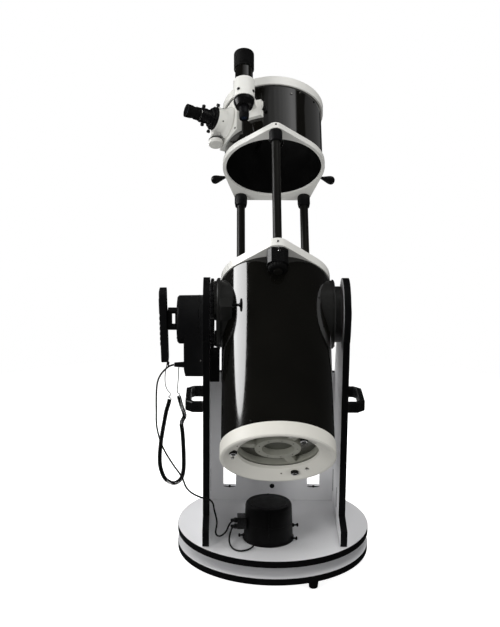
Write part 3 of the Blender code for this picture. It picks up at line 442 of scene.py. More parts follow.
DRIVE_CABLE = [(-0.2722, -0.055, 0.574), (-0.2854, -0.057, 0.5698), (-0.3007, -0.062, 0.5573),
    (-0.3118, -0.068, 0.5417), (-0.3172, -0.074, 0.5232), (-0.319, -0.08, 0.4923), (-0.319, -0.086, 0.4563),
    (-0.3183, -0.092, 0.416), (-0.3092, -0.098, 0.3757), (-0.2958, -0.103, 0.3448), (-0.2735, -0.11, 0.3095),
    (-0.2511, -0.116, 0.2787), (-0.24, -0.121, 0.252), (-0.2265, -0.124, 0.2366), (-0.208, -0.127, 0.227),
    (-0.195, -0.128, 0.2225), (-0.178, -0.128, 0.2185), (-0.167, -0.124, 0.205), (-0.163, -0.12, 0.183),
    (-0.156, -0.12, 0.15), (-0.159, -0.125, 0.118), (-0.148, -0.124, 0.109), (-0.132, -0.122, 0.12),
    (-0.1205, -0.1235, 0.146), (-0.1076, -0.125, 0.1565)]
SPARE_LOOP = [(-0.1072, -0.134, 0.143), (-0.116, -0.138, 0.137), (-0.1225, -0.154, 0.112),
    (-0.115, -0.183, 0.1026), (-0.096, -0.204, 0.1026), (-0.072, -0.196, 0.1026), (-0.0575, -0.18, 0.105)]
THIN_TOP = [(-0.2915, -0.034, 0.5728), (-0.2958, -0.037, 0.5504), (-0.2974, -0.04, 0.5313),
    (-0.2961, -0.043, 0.5133), (-0.2907, -0.045, 0.499), (-0.2835, -0.045, 0.4915)]
CURLY = [(-0.2824, -0.045, 0.488), (-0.2866, -0.045, 0.4664), (-0.2935, -0.045, 0.4427),
    (-0.2991, -0.045, 0.4141), (-0.3051, -0.045, 0.3808), (-0.31, -0.045, 0.347), (-0.313, -0.045, 0.3133),
    (-0.3119, -0.045, 0.2796), (-0.3018, -0.045, 0.248), (-0.2882, -0.045, 0.2348),
    (-0.2723, -0.045, 0.2311), (-0.256, -0.045, 0.2432), (-0.249, -0.045, 0.2652), (-0.2475, -0.045, 0.299),
    (-0.2487, -0.045, 0.3426), (-0.251, -0.045, 0.381), (-0.2535, -0.045, 0.401), (-0.2505, -0.047, 0.415),
    (-0.245, -0.049, 0.425), (-0.2465, -0.049, 0.437), (-0.2525, -0.047, 0.453), (-0.2585, -0.045, 0.475),
    (-0.264, -0.045, 0.4975)]
THIN_BOTTOM = [(-0.2641, -0.045, 0.4997), (-0.2626, -0.044, 0.5186), (-0.2612, -0.041, 0.5366),
    (-0.2608, -0.0365, 0.555), (-0.258, -0.0335, 0.5655), (-0.2475, -0.0325, 0.569)]
CABLE_R, THIN_R, COIL_R, COIL_PITCH = 0.0024, 0.00122, 0.005, 0.003


def placed(points):
    return [AZIMUTH + Vector(p) for p in points]


def build_cords():
    for name, route in (("drive_cable", DRIVE_CABLE), ("azimuth_cable_loop", SPARE_LOOP)):
        line = smooth_route(placed(route), 0.006)
        cable = wire(name + "_sheath", line, CABLE_R, "rocker", "cable")
        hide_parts(name)
    line = smooth_route(placed(THIN_TOP), 0.004)[:-1]
    line += coiled(placed([THIN_TOP[-1]] + CURLY[1:-1] + [THIN_BOTTOM[0]]), COIL_R, COIL_PITCH, 14, 0.02)
    line += smooth_route(placed(THIN_BOTTOM), 0.004)[1:]
    cord = wire("handset_cord", line, THIN_R, "rocker", "cable", 2)
    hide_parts("handset_cord_top", "handset_cord_curly", "handset_cord_bottom")


build_cords()


# ---------------------------------------------------------------- base and rocker box
def side_outline():
    """The side panel seen along X, as (y, z): a stepped toe, a neck and a round head."""
    toe_y, toe_z, neck_y, neck_z, head = -0.1716, 0.142, -0.09, 0.156, 0.097
    low = sqrt(head ** 2 - (neck_y - ALTITUDE_Y) ** 2)
    start = 1.5 * pi - Vector((low, ALTITUDE_Y - neck_y)).angle(Vector((1, 0)))
    reach = Vector((PANEL_REAR_Y - ALTITUDE_Y, FRONT_TOP - ALTITUDE_Z))
    opening = head / reach.length
    end = -Vector((1, 0)).angle(reach) + (pi / 2 - opening * (1 + opening ** 2 / 6))
    arc = [(ALTITUDE_Y + head * cos(start + (end - start) * k / 44),
        ALTITUDE_Z + head * sin(start + (end - start) * k / 44)) for k in range(45)]
    return [(toe_y, ROCKER_TOP + 0.0004), (toe_y, toe_z), (neck_y, neck_z)] + arc + [(PANEL_REAR_Y,
        FRONT_TOP), (PANEL_REAR_Y, ROCKER_TOP + 0.0004)]


def strip(shape, path, low, high, place):
    """Edge banding along a flat path of (u, v), from w = low to high; out is to its left."""
    path, proud, sink, round_off = [Vector(p) for p in path], 0.0005, 0.0004, 0.0006
    section = [(-sink, low), (proud * 0.4, low), (proud, low + round_off), (proud, high - round_off),
        (proud * 0.4, high), (-sink, high)]
    vertices, last, size = [], len(path) - 1, len(section)
    for i, here in enumerate(path):
        before = here - path[i - 1] if i else path[1] - here
        after = path[i + 1] - here if i < last else here - path[i - 1]
        a, b = before.normalized(), after.normalized()
        out = Vector((-a.y - b.y, a.x + b.x))
        out = out / max(0.4, out.length_squared / 2)
        for offset, w in section:
            p = here + out * offset
            vertices.append(place(p.x, p.y, w))
    faces = [[i * size + k, i * size + (k + 1) % size, (i + 1) * size + (k + 1) % size, (i + 1) * size + k]
        for i in range(last) for k in range(size)]
    faces += [list(range(size)), [last * size + k for k in range(size)]]
    shape.add(vertices, faces, Matrix.Identity(4), 0)


def build_base():
    for node, low in (("ground_board", GROUND_BOTTOM), ("rocker_board", ROCKER_TOP - BOARD)):
        dress(node, "laminate banding", 0.0, zone=lambda c, n: 0 if abs(n.z) > 0.5 else 1)
        high, r = low + BOARD, BASE_RADIUS
        Shape().turn([(r - 0.0008, low + 0.0001), (r + 0.0002, low + 0.0001), (r + 0.0006, low + 0.0008),
            (r + 0.0006, high - 0.0008), (r + 0.0002, high - 0.0001), (r - 0.0008, high - 0.0001)], ROOT,
            160).make(node + "_edging", NODE_BODY[node], "banding", "black_plastic")
    for side in ("near", "right", "left"):
        dress("foot_" + side, "rubber", 0.0008)
    dress("azimuth_gear_ring", "plastic", 0.0006)
    low, top, bolt = GROUND_BOTTOM, ROCKER_TOP, Shape()
    bolt.turn([(0, low - 0.006), (0.0095, low - 0.006), (0.011, low - 0.005), (0.011, low - 0.0003),
        (0.006, low - 0.0003), (0.006, top + 0.0003), (0.0145, top + 0.0003), (0.0145, top + 0.002),
        (0, top + 0.002)], ROOT, 40)
    bolt.turn([(0, top + 0.0021), (0.0105, top + 0.0021), (0.0105, top + 0.0085), (0.009, top + 0.0095),
        (0, top + 0.0095)], ROOT, 6)
    bolt.stand_in("azimuth_pivot_bolt", "_head", "steel", 0.0003)
    rivets = Shape()
    for k in range(12):
        a = tau * (k + 0.5) / 12
        rivets.screw(ROOT @ moved(0.244 * cos(a), 0.244 * sin(a), GROUND_BOTTOM) @ turned("X", 180), 0.004,
            0.002)
    rivets.make("ground_board_screws", "base", "steel", "bright_steel")


def build_rocker():
    def flat(x, n):
        return 0 if abs(n.x) > 0.5 else 1
    edging = Shape()
    for side, low in (("left", -SIDE_OUTER), ("right", SIDE_INNER)):
        dress("side_panel_" + side, "laminate banding", 0.0, zone=flat)
        strip(edging, side_outline(), low + 0.0001, low + PANEL - 0.0001,
            lambda u, v, w: AZIMUTH + Vector((w, u, v)))
    dress("front_panel", "laminate banding", 0.0, zone=lambda c, n: 1 if n.z > 0.5 and c.z > 0.4 else 0)
    inner = SIDE_INNER - 0.0006
    strip(edging, [(-inner, FRONT_TOP), (inner, FRONT_TOP)], FRONT_Y + 0.0001, FRONT_Y + PANEL - 0.0001,
        lambda u, v, w: AZIMUTH + Vector((u, w, v)))
    edging.make("rocker_edging", "rocker", "banding", "black_plastic")
    bolts = Shape()
    for z in (0.135, 0.285, 0.445):
        for sign, turn in ((-1, ALONG_MINUS_X), (1, ALONG_X)):
            bolts.screw(ROOT @ moved(sign * SIDE_OUTER, FRONT_Y + PANEL / 2, z) @ turn, 0.0065, 0.0022)
    for x in (-0.16, 0.16):
        for y in (-0.13, 0.1):
            bolts.screw(ROOT @ moved(x * 1.158, y, ROCKER_TOP - BOARD) @ turned("X", 180), 0.006, 0.0018)
    bolts.make("panel_bolts", "rocker", "steel", "bright_steel")
    trim = Shape()
    for x in (-0.1215, 0.1215):
        sill = [(x + 0.018 * cos(pi + pi * k / 16), 0.144 + 0.003 * sin(pi + pi * k / 16)) for k in
            range(17)]
        trim.prism(sill, -FRONT_Y, 0.0016 - FRONT_Y, ROOT @ turned("X", 90))
        trim.screw(ROOT @ moved(x, FRONT_Y - 0.0016, 0.144) @ ALONG_MINUS_Y, 0.0038, 0.003)
    trim.turn(mm((0, 0), (7, 0), (6.2, 1.6), (4.5, 2.1), (4, 1.2), (0, 1)),
        ROOT @ moved(0.0015, FRONT_Y, 0.144) @ ALONG_MINUS_Y, 32)
    for sign, y, low, high in ((1, 0.1238, 0.141, 0.2065), (1, -0.0024, 0.1445, 0.2025),
                               (-1, 0.1238, 0.141, 0.2065)):
        x = sign * (SIDE_INNER - 0.0006)
        trim.box((min(x, x + sign * 0.001), y - 0.0032, low), (max(x, x + sign * 0.001), y + 0.0032, high),
            ROOT)
    trim.make("panel_trim", "rocker", "plastic", "black_plastic", 0.0002)
    for side in ("left", "right"):
        dress("carry_handle_" + side, "satin", 0.0035, 3, 30)
    build_azimuth_drive()
    build_altitude_drive()


def build_azimuth_drive():
    place = ROOT @ moved(-0.016, -0.11, ROCKER_TOP)
    drum = Shape()
    drum.turn(mm((0, 0.3), (70, 0.3), (70, 3.6), (68.8, 4.8), (67.2, 5.2), (65, 50), (64.4, 50.3),
        (64.4, 51.5), (64.8, 51.8), (62.8, 95.5), (61.8, 99.5), (59.4, 103), (56, 104), (50, 104.2),
        (49.2, 103.6), (48.4, 104.2), (30, 105), (0, 105.3)), place, 128)
    drum.box((-0.0008, -0.0668, 0.005), (0.0008, -0.06, 0.095), place)
    drum.screws(place, 6, 0.0545, 0.1039, 0.0026, 0.0012)
    for degrees, z in ((-8, 0.0065), (5, 0.038), (188, 0.0065)):
        lug = place @ turned("Z", degrees) @ moved(0, -0.01, z) @ ALONG_X
        drum.turn(mm((0, 60), (5.5, 60), (5, 68.5), (2.6, 69.5), (2.4, 75.5), (4.8, 76.2), (5.2, 78.5),
            (4, 80.5), (0, 81.2)), lug, 20)
    drum.stand_in("azimuth_drive_housing", "_shell", "drum", 0.0004)
    socket = Shape()
    socket.box((-0.085, -0.032, 0.037), (-0.06, 0.002, 0.07), place)
    for y, z in ((-0.015, 0.0565), (-0.024, 0.043)):
        socket.turn(mm((0, 0), (7.2, 0), (7.2, 9), (5, 12), (3.8, 20), (0, 20)),
            place @ moved(-0.083, y, z) @ ALONG_MINUS_X, 24)
    socket.make("azimuth_drive_socket", "rocker", "satin", "black_plastic", 0.0012)


def build_altitude_drive():
    dress("altitude_drive_housing", "plastic", 0.0022, 3)
    dress("altitude_gear_housing", "plastic", 0.002, 3)
    y, z, outer = -0.02, 0.69, SIDE_OUTER + 0.0003
    cap = Shape()
    face = ROOT @ moved(-outer - 0.069, y, z) @ ALONG_MINUS_X
    cap.turn(mm((0, -1), (50, -1), (50, 0.6), (49, 1), (0, 1)), face, 96)
    cap.screws(face, 4, 0.0565, -0.0004, 0.0028, 0.0014)
    cap.turn(mm((65.2, 10), (66.2, 10), (66.2, 12.5), (65.2, 12.5)),
        ROOT @ moved(-outer, y, z) @ ALONG_MINUS_X, 96)
    cap.make("altitude_drive_cap", "rocker", "satin", "black_plastic", 0.0002)
    screws = Shape()
    for height in (0.6855, 0.5918):
        screws.screw(ROOT @ moved(-0.202, -0.0751, height) @ ALONG_MINUS_Y, 0.0026, 0.0014)
        screws.screw(ROOT @ moved(-0.202, 0.0351, height) @ ALONG_Y, 0.0026, 0.0014)
    screws.make("altitude_drive_screws", "rocker", "steel", "bright_steel")
    sockets = Shape()
    for height, radius in ((0.585, 0.0052), (0.615, 0.004)):
        sockets.turn([(0, -0.003), (radius, -0.003), (radius, 0.0008), (radius + 0.0022, 0.0008),
            (radius + 0.0022, -0.001), (0, -0.004)], ROOT @ moved(-0.2458, 0.01, height) @ ALONG_MINUS_X, 28)
    sockets.turn(mm((0, -2), (4.8, -2), (4.6, 4), (3, 11), (1.4, 12.5), (0, 12.5)),
        ROOT @ moved(-0.2458, -0.0325, 0.569) @ ALONG_MINUS_X, 20)
    sockets.make("altitude_drive_sockets", "rocker", "satin", "black_plastic")
    dress("handset_hanger", "satin", 0.0012)


def build_handset():
    dress("handset_shell", "plastic", 0.0035, 4, 30)
    face = HANDSET @ turned("Z", -90) @ turned("X", 90)
    top = Shape()
    top.box((-0.02, 0.04, 0.0085), (0.02, 0.075, 0.01), face)
    top.make("handset_display", "handset", "screen", "black_plastic", 0.0004)
    rim = Shape()
    for a, b, c, d in ((-0.023, 0.037, 0.023, 0.0402), (-0.023, 0.0748, 0.023, 0.078),
                       (-0.023, 0.037, -0.0198, 0.078), (0.0198, 0.037, 0.023, 0.078)):
        rim.box((a, b, 0.0085), (c, d, 0.0108), face)
    rim.turn(mm((0, 0), (3.6, 0), (3.4, 3), (1.6, 14), (0, 14)), HANDSET @ moved(0.0085, -0.014, -0.0985) @
        turned("X", 180), 20)
    rim.make("handset_bezel", "handset", "satin", "black_plastic", 0.0005)
    keys = Shape()
    keys.box((-0.0212, -0.0542, 0.0087), (0.0212, 0.0292, 0.0098), face)
    wide, tall, steps = 0.005, 0.0042, [tau * k / 16 for k in range(16)]
    for row in range(6):
        for column in range(3):
            x, y = (column - 1) * 0.0135, 0.0225 - row * 0.014
            outline = [(x + wide * cos(a) * (1 + 0.15 * abs(sin(2 * a))),
                y + tall * sin(a) * (1 + 0.15 * abs(sin(2 * a)))) for a in steps]
            keys.prism(outline, 0.0095, 0.0112, face, 1)
    keys.make("handset_keys", "keypad", "rubber key", "black_rubber", 0.0004, replaces=("handset_keypad",))


build_base()
build_rocker()
build_handset()


# ---------------------------------------------------------------- lower tube
INTO_TUBE = TUBE.inverted()


def inside_of(radius):
    """Picks zone 1 for the faces that look into a round tube and zone 0 for all others."""
    def pick(c, n):
        p = INTO_TUBE @ c
        q = INTO_TUBE.to_3x3() @ n
        return int(p.xy.length < radius and q.x * p.x + q.y * p.y < 0)
    return pick


def build_tube():
    tube = Shape()
    r, wall, low, high = TUBE_R, 0.0016, -0.395, 0.104
    tube.turn([(r - wall, low), (r - 0.0004, low), (r, low + 0.0004), (r, high - 0.0004), (r - 0.0004, high),
        (r - wall, high)], TUBE, 192, [0, 0, 0, 0, 1, 1])
    tube.box((-0.0035, r - 0.0004, low + 0.03), (0.0035, r + 0.0003, 0.091), TUBE)
    tube.stand_in("lower_tube", "_skin", "gloss flock")
    screws = Shape()
    for k in range(6):
        screws.screw(TUBE @ radial(radians(-31 + 60 * k), r + 0.0001, -0.3765), 0.003, 0.0014)
        screws.screw(TUBE @ radial(radians(30 + 60 * k), r + 0.0001, 0.0835), 0.0028, 0.0013)
    screws.make("lower_tube_screws", "tube", "satin", "black_plastic")
    dress("rear_cell_ring", "cell", 0.0012, 3, 25)

    def cell_zone(c, n):
        p, q = INTO_TUBE @ c, INTO_TUBE.to_3x3() @ n
        if p.z < -0.378 or q.z > -0.5:
            return 0
        return 2 if p.xy.length < 0.041 else 1
    dress("mirror_cell_casting", "casting mirror_back mirror_hub", 0.0012, zone=cell_zone)
    disc = Shape()
    disc.turn(mm((0, -378.5), (39.5, -378.5), (40.2, -378), (40.2, -376.8), (0, -376.8)), TUBE, 64)
    disc.make("mirror_cell_disc", "tube", "mirror_hub", "white_metal")
    dress("primary_mirror", "mirror ground_glass", 0.001, zone=lambda c, n: 0 if (INTO_TUBE.to_3x3() @ n).z >
        0.5 else 1)
    dress("tube_top_ring", "white", 0.0016, 3, 30)
    cell_screws = Shape()
    for number, angle in enumerate(SPIDER_ANGLES, 1):
        knob = TUBE @ moved(0.115 * cos(angle), -0.115 * sin(angle), -0.4196)
        Shape().turn(mm((0, 0.6), (6, 0.2), (8.4, 0), (9.5, 1), (9.5, 8.5), (8.6, 9.5), (4.2, 9.5),
            (4.2, 11.9), (0, 11.9)), knob, 80, [1, 0, 0, 1, 0, 0, 0, 0],
            flute=ribs(0.00045, 20, 0.009)).make("collimation_thumbwheel_%d" % number,
            "collimator_%d" % number, "chrome satin", "bright_steel",
            replaces=("collimation_knob_%d" % number,))
        for turn, radius in ((18, 0.0062), (-18, 0.0026)):
            a = angle + radians(turn)
            seat = moved(0.118 * cos(a), -0.118 * sin(a), -0.4135)
            cell_screws.turn([(0, 0), (radius - 0.0008, 0), (radius, 0.001), (radius, 0.004),
                (radius * 0.5, 0.0045), (radius * 0.5, 0.01), (0, 0.01)], TUBE @ seat, 32)
    for k in range(9):
        a = tau * k / 9
        cell_screws.screw(TUBE @ moved(0.05 * cos(a), -0.05 * sin(a), -0.3946) @ turned("X", 180), 0.0017,
            0.0009)
    cell_screws.make("cell_lock_screws", "tube", "steel", "bright_steel")
    build_clamps()


def build_clamps():
    bolts = Shape()
    for side, angle in STRUT_ANGLES.items():
        dress("strut_clamp_" + side, "satin", 0.003, 4)
        turn = Matrix.Rotation(-angle, 4, "Z")
        bolts.screw(TUBE @ radial(angle, 0.2, 0.103), 0.0034, 0.0024)
        bolts.turn(mm((0, 0), (3.6, 0), (3.6, 1.6), (2.2, 3), (0, 3.2)),
            TUBE @ radial(angle, 0.1918, 0.079) @ moved(0.004, 0, 0), 20)
        bolts.turn(mm((0, 0), (1.3, 0), (1.3, 14), (0, 14)), TUBE @ turn @ moved(0.002, -0.1935, 0.083), 12)
        bore, r, t = 0.0126, 0.024, 0.0145
        collar = Shape()
        collar.turn([(bore, -t), (r - 0.006, -t), (r - 0.0022, 0.0018 - t), (r - 0.0006, 0.0045 - t),
            (r, 0.006 - t), (r, -0.003), (r - 0.0008, -0.0014), (r - 0.003, 0), (bore, 0)],
            TUBE @ around(angle, STRUT_AT, 0.0459), 120, flute=lambda r, z, a: 0.0009 * max(-0.4,
            cos(20 * a)) if r > 0.0228 else 0.0)
        collar.stand_in("strut_lock_collar_" + side, "_grip", "rubber")
    bolts.make("strut_clamp_bolts", "tube", "chrome", "bright_steel")


def build_hubs():
    for side in ("left", "right"):
        # the hubs take the hub colour with its painted sheen, and are left out of other surfaces'
        # reflections
        dress("altitude_hub_" + side, "hub", 0.0012, 3, 30).visible_glossy = False
    wheel = Shape()
    inner, outer, r = 0.1652, 0.1752, 0.0945

    def scallop(r, z, a):
        return -0.003 * max(0.0, cos(36 * a)) ** 1.5 if r > 0.088 else 0.0
    wheel.turn([(0.0153, inner), (r - 0.01, inner), (r - 0.003, inner + 0.0004), (r, inner + 0.0022),
        (r, outer - 0.0022), (r - 0.003, outer - 0.0004), (r - 0.01, outer), (0.06, outer),
        (0.058, outer - 0.0012), (0.0153, outer - 0.0012)], TUBE @ ALONG_MINUS_X, 288, flute=scallop)
    wheel.stand_in("altitude_setting_wheel", "_ribbed", "satin", angle=40)
    marks = Shape()
    facing = INTO_TUBE.to_3x3() @ Vector((0, -cos(radians(7.5)), sin(radians(7.5))))
    centre = TUBE @ Vector((-(inner + outer) / 2, facing.y * 0.0948, facing.z * 0.0948))
    marks.box((-0.005, -0.0006, -0.0014), (0.005, 0.0004, 0.0014), Matrix.Translation(centre) @ turned("X",
        -7.5))
    marks.make("altitude_index_mark", "tube", "chrome", "bright_steel")
    ring = Shape()
    for sign, radius, x in ((-1, 0.09, 0.1587), (1, 0.087, 0.1547)):
        ring.screws(TUBE @ (ALONG_MINUS_X if sign < 0 else ALONG_X), 6, radius, x - 0.0002, 0.003, 0.0016,
            0.25)
    ring.turn(mm((52, 158.6), (62, 158.6), (61.5, 160), (52.5, 160)), TUBE @ ALONG_MINUS_X, 72)
    ring.make("altitude_hub_screws", "tube", "satin", "black_plastic")
    cap, out = Shape(), SIDE_OUTER
    cap.turn([(0.0, out - 0.0012), (0.0145, out - 0.0012), (0.029, out + 0.0004), (0.029, out + 0.005),
        (0.027, out + 0.007), (0.012, out + 0.0078), (0.01, out + 0.0062), (0, out + 0.0062)],
        ROOT @ moved(0, ALTITUDE_Y, ALTITUDE_Z) @ ALONG_X, 64)
    cap.make("altitude_bearing_cap", "tube", "satin", "black_plastic", 0.0003)
    knob = Shape()
    knob.turn(mm((0, 0), (5.2, 0), (5.2, 1.5), (3.6, 2), (3.6, 17), (6, 19.5), (15, 20.8), (17, 22.2),
        (17, 24.5), (15.5, 26.2), (6, 27.2), (0, 27.2)), TUBE @ moved(-0.1177, -0.13, -0.048) @ ALONG_X, 72,
        flute=ribs(0.0005, 18, 0.0165))
    knob.stand_in("altitude_tension_knob", "_turned", "satin").visible_glossy = False


# ---------------------------------------------------------------- struts and upper cage
def build_cage():
    for side, angle in STRUT_ANGLES.items():
        strut = Shape()
        strut.turn(mm((0, 26), (11, 26), (12, 27), (12, 443), (14, 443), (16.5, 445), (18, 456), (18, 477.5),
            (17.2, 479.7), (0, 479.7)), TUBE @ around(angle, STRUT_AT), 96, [0, 0, 0, 1, 1, 1, 1, 1, 1],
            flute=ribs(0.0004, 32, 0.0176))
        strut.stand_in("strut_" + side, "_pole", "pole plastic")
    dress("cage_lower_ring", "white", 0.0016, 3, 30)
    dress("cage_top_ring", "white", 0.0012, 3, 25)
    dress("cage_tube", "gloss flock", 0.0004, zone=inside_of(CAGE_R))
    for side, sign in (("left", 1), ("right", -1)):
        Shape().turn(mm((0, 0), (3.6, 0), (4.4, 4), (6.2, 10), (8.8, 18), (11.2, 25), (12.4, 31), (12.2, 36),
            (10.2, 40), (7, 42.5), (3.5, 43.4), (0, 43.6)), TUBE @ radial(sign * radians(113), 0.15, 0.489),
            56).stand_in("pear_knob_" + side, "_moulded", "satin")
    dress("secondary_mirror", "mirror ground_glass", 0.0006,
        zone=lambda c, n: 0 if (INTO_TUBE.to_3x3() @ n).z < -0.5 else 1)
    dress("secondary_spider", "satin", 0.0005)
    details = Shape()
    for k, angle in enumerate((20, 110, 200, 290)):
        a = radians(angle)
        details.screw(TUBE @ moved(0.1402 * cos(a), 0.1402 * sin(a), 0.6444) @ Matrix.Rotation(a, 4, "Z") @
            ALONG_X, 0.0034, 0.0018)
    for turn in (-31.6, 88.4, 148.4):
        details.screw(TUBE @ radial(radians(turn), CAGE_R + 0.0001, 0.656), 0.0034, 0.0016)
    details.screws(TUBE, 3, 0.011, 0.6615, 0.0028, 0.0024, 0)
    details.make("cage_screws", "cage", "steel", "bright_steel")
    pits = Shape()
    for side, angle in STRUT_ANGLES.items():
        pits.screw(TUBE @ radial(angle, STRUT_AT + 0.0199, 0.4905), 0.0028, 0.0008)
    for turn in (-55.3, 28.4, 208.4):
        pits.screw(TUBE @ radial(radians(turn), CAGE_R + 0.0001, 0.656), 0.0034, 0.0014)
    pits.make("cage_ring_set_screws", "cage", "plastic", "black_plastic")


# ---------------------------------------------------------------- focuser
def build_focuser():
    dress("focuser_base", "white", 0.0012, 3, 25)
    trim = Shape()
    trim.turn(mm((34.5, 179.5), (35.2, 179.5), (35.6, 180.5), (35.6, 185), (35, 186.2), (32, 186.6),
        (30.6, 186.6), (30.6, 179.5)), FOCUSER, 96)
    trim.turn(mm((45, 144.6), (46.2, 144.6), (46.2, 149), (45, 150)), FOCUSER, 96)
    trim.make("focuser_collars", "cage", "white", "white_metal", 0.0002)
    screws = Shape()
    for x in (-0.0475, 0.0475):
        for y in (-0.0515, 0.0515):
            screws.screw(FOCUSER @ moved(x, y, 0.1446), 0.0033, 0.002)
    for y, z in ((-0.018, 0.1535), (0.018, 0.1535), (0.0, 0.17)):
        screws.screw(FOCUSER @ moved(-0.048, y, z) @ ALONG_MINUS_X, 0.0027, 0.0014)
    for a in (40, 140, 220, 320):
        screws.screw(FOCUSER @ turned("Z", a) @ moved(0.0346, 0, 0.1725) @ ALONG_X, 0.0022, 0.0014)
    screws.make("focuser_screws", "cage", "satin", "black_plastic")
    draw = Shape()
    draw.turn(mm((26.2, 118), (30, 118), (30, 186.8), (32.2, 187), (33, 187.6), (33, 190), (32.2, 190.6),
        (32.2, 192.5), (33, 193.1), (33, 195.5), (31.8, 196.5), (26.2, 196.5)), FOCUSER, 120,
        flute=ribs(0.0003, 60, 0.0325))
    draw.stand_in("focuser_drawtube", "_turned", "anodised")
    adapter = Shape()
    adapter.turn(mm((16.2, 196.8), (27.2, 196.8), (27.8, 197.4), (27.8, 202), (26.8, 202.8), (22.5, 203.6),
        (20.5, 204), (20.5, 215), (21.5, 215.6), (21.5, 231), (20.7, 232), (16.2, 232)), FOCUSER, 96)
    adapter.stand_in("eyepiece_adapter", "_turned", "anodised")
    thumbs = Shape()
    for turn, z, reach in ((35, 0.1915, 0.033), (215, 0.1915, 0.033), (80, 0.2235, 0.0215),
                           (260, 0.2235, 0.0215)):
        thumbs.turn(mm((0, 0), (2.2, 0), (2.2, 4), (4.6, 4.6), (5, 5.2), (5, 11), (4.4, 11.8), (0, 12)),
            FOCUSER @ turned("Z", turn) @ moved(reach - 0.0005, 0, z) @ ALONG_X, 40,
            flute=ribs(0.0003, 12, 0.0045))
    thumbs.make("focuser_thumbscrews", "drawtube", "satin", "black_anodised")
    eye = Shape()
    eye.turn(mm((0, 200), (15, 200), (15.85, 200.8), (15.85, 232.3), (18.8, 232.4), (19.2, 233),
        (19.2, 235.2), (18.8, 235.8), (18.4, 236.2), (18.4, 248), (17, 249.5), (17, 256), (17.8, 257.5),
        (18.6, 260), (19.2, 274), (19, 276.2), (17.8, 276.5), (16, 274), (12, 269), (0, 269)), FOCUSER, 96,
        [1, 1, 1, 1, 1, 1, 1, 0, 0, 0, 0, 0, 0, 0, 0, 0, 0, 0, 2],
        flute=lambda r, z, a: 0.00035 * cos(36 * a) if abs(r - 0.0184) < 1e-6 else 0.0)
    eye.stand_in("eyepiece", "_turned", "rubber chrome lens")
    knob = Shape()
    place = FOCUSER @ moved(-0.038, 0, 0.166) @ ALONG_Y
    half = mm((3, 0), (3, 42), (18.5, 42), (20, 42.8), (20.5, 44), (20.5, 46.2), (19.6, 46.6), (20.2, 47.2),
        (20.2, 58), (19, 59.6), (12, 60), (11, 59.2), (0, 59.2))
    colour = [2, 1, 1, 1, 1, 1, 0, 0, 0, 0, 0, 0]
    knob.turn([(r, -z) for r, z in reversed(half)] + half[1:], place, 160, list(reversed(colour)) + colour,
        flute=lambda r, z, a: 0.0005 * cos(40 * a) if abs(r - 0.0202) < 1e-6 else 0.0)
    knob.stand_in("focus_knobs", "_turned", "white rubber steel")


# ---------------------------------------------------------------- finder telescope
def build_finder():
    dress("finder_bracket", "white", 0.001, 3, 25)
    body = Shape()
    body.turn(mm((14.5, 554), (21.5, 554), (23.5, 555.2), (25, 559), (28.8, 569), (29, 571), (29, 574),
        (27.6, 574.6), (27.6, 575.6), (29, 576.2), (29, 578.5), (28.4, 579), (25, 579), (25, 686.6),
        (26.2, 686.8), (28.5, 688), (28.5, 693), (27.9, 693.6), (27.9, 695.6), (28.5, 696.2), (28.5, 742.5),
        (28, 744), (26.2, 744), (25.8, 715), (14.5, 714)), FINDER, 128, [1] * 12 + [0] * 2 + [2] * 9 + [3,
        3], flute=lambda r, z, a: 0.0003 * cos(48 * a) if 0.0284 < r and 0.698 < z < 0.743 else 0.0)
    body.stand_in("finder_tube", "_turned", "gloss satin rubber flock")
    lens = Shape()
    lens.turn(mm((0, 720.5), (12, 719.8), (22, 717.5), (25.5, 716), (25.5, 715.2), (0, 715.2)), FINDER, 64)
    lens.make("finder_objective", "finder", "lens", "mirror_glass")
    eye = Shape()
    eye.turn(mm((0, 518), (8, 518), (10.5, 514.2), (12, 514), (13.2, 515.5), (13.8, 526), (13.2, 527.5),
        (13.2, 529), (14, 530), (14, 594), (0, 594)), FINDER, 72, [2, 1, 1, 1, 1, 1, 1, 1, 0, 0])
    eye.stand_in("finder_eyepiece", "_turned", "anodised rubber lens")
    screws = Shape()
    for turn in (32, 122, -58):
        screws.turn(mm((0, -0.4), (4.6, -0.4), (4.6, 1.4), (3.6, 2.2), (0, 2.2)),
            FINDER @ radial(radians(turn), 0.0297, 0.599), 24)
    side = TUBE @ turned("Z", -23)
    screws.turn(mm((0, 0), (3, 0), (3, 4), (7.2, 4.8), (7.8, 5.6), (7.8, 12.5), (7, 13.5), (0, 13.7)),
        side @ moved(0.0219, -0.142, 0.58) @ ALONG_X, 48, flute=ribs(0.0004, 14, 0.0075))
    screws.make("finder_screws", "cage", "satin", "black_plastic")
    shoe_parts = Shape()
    shoe_parts.box((-0.024, -0.144, 0.556), (0.024, -0.138, 0.61), side)
    shoe_parts.make("finder_shoe_rails", "cage", "white", "white_metal", 0.001)


build_tube()
build_hubs()
build_cage()
build_focuser()
build_finder()


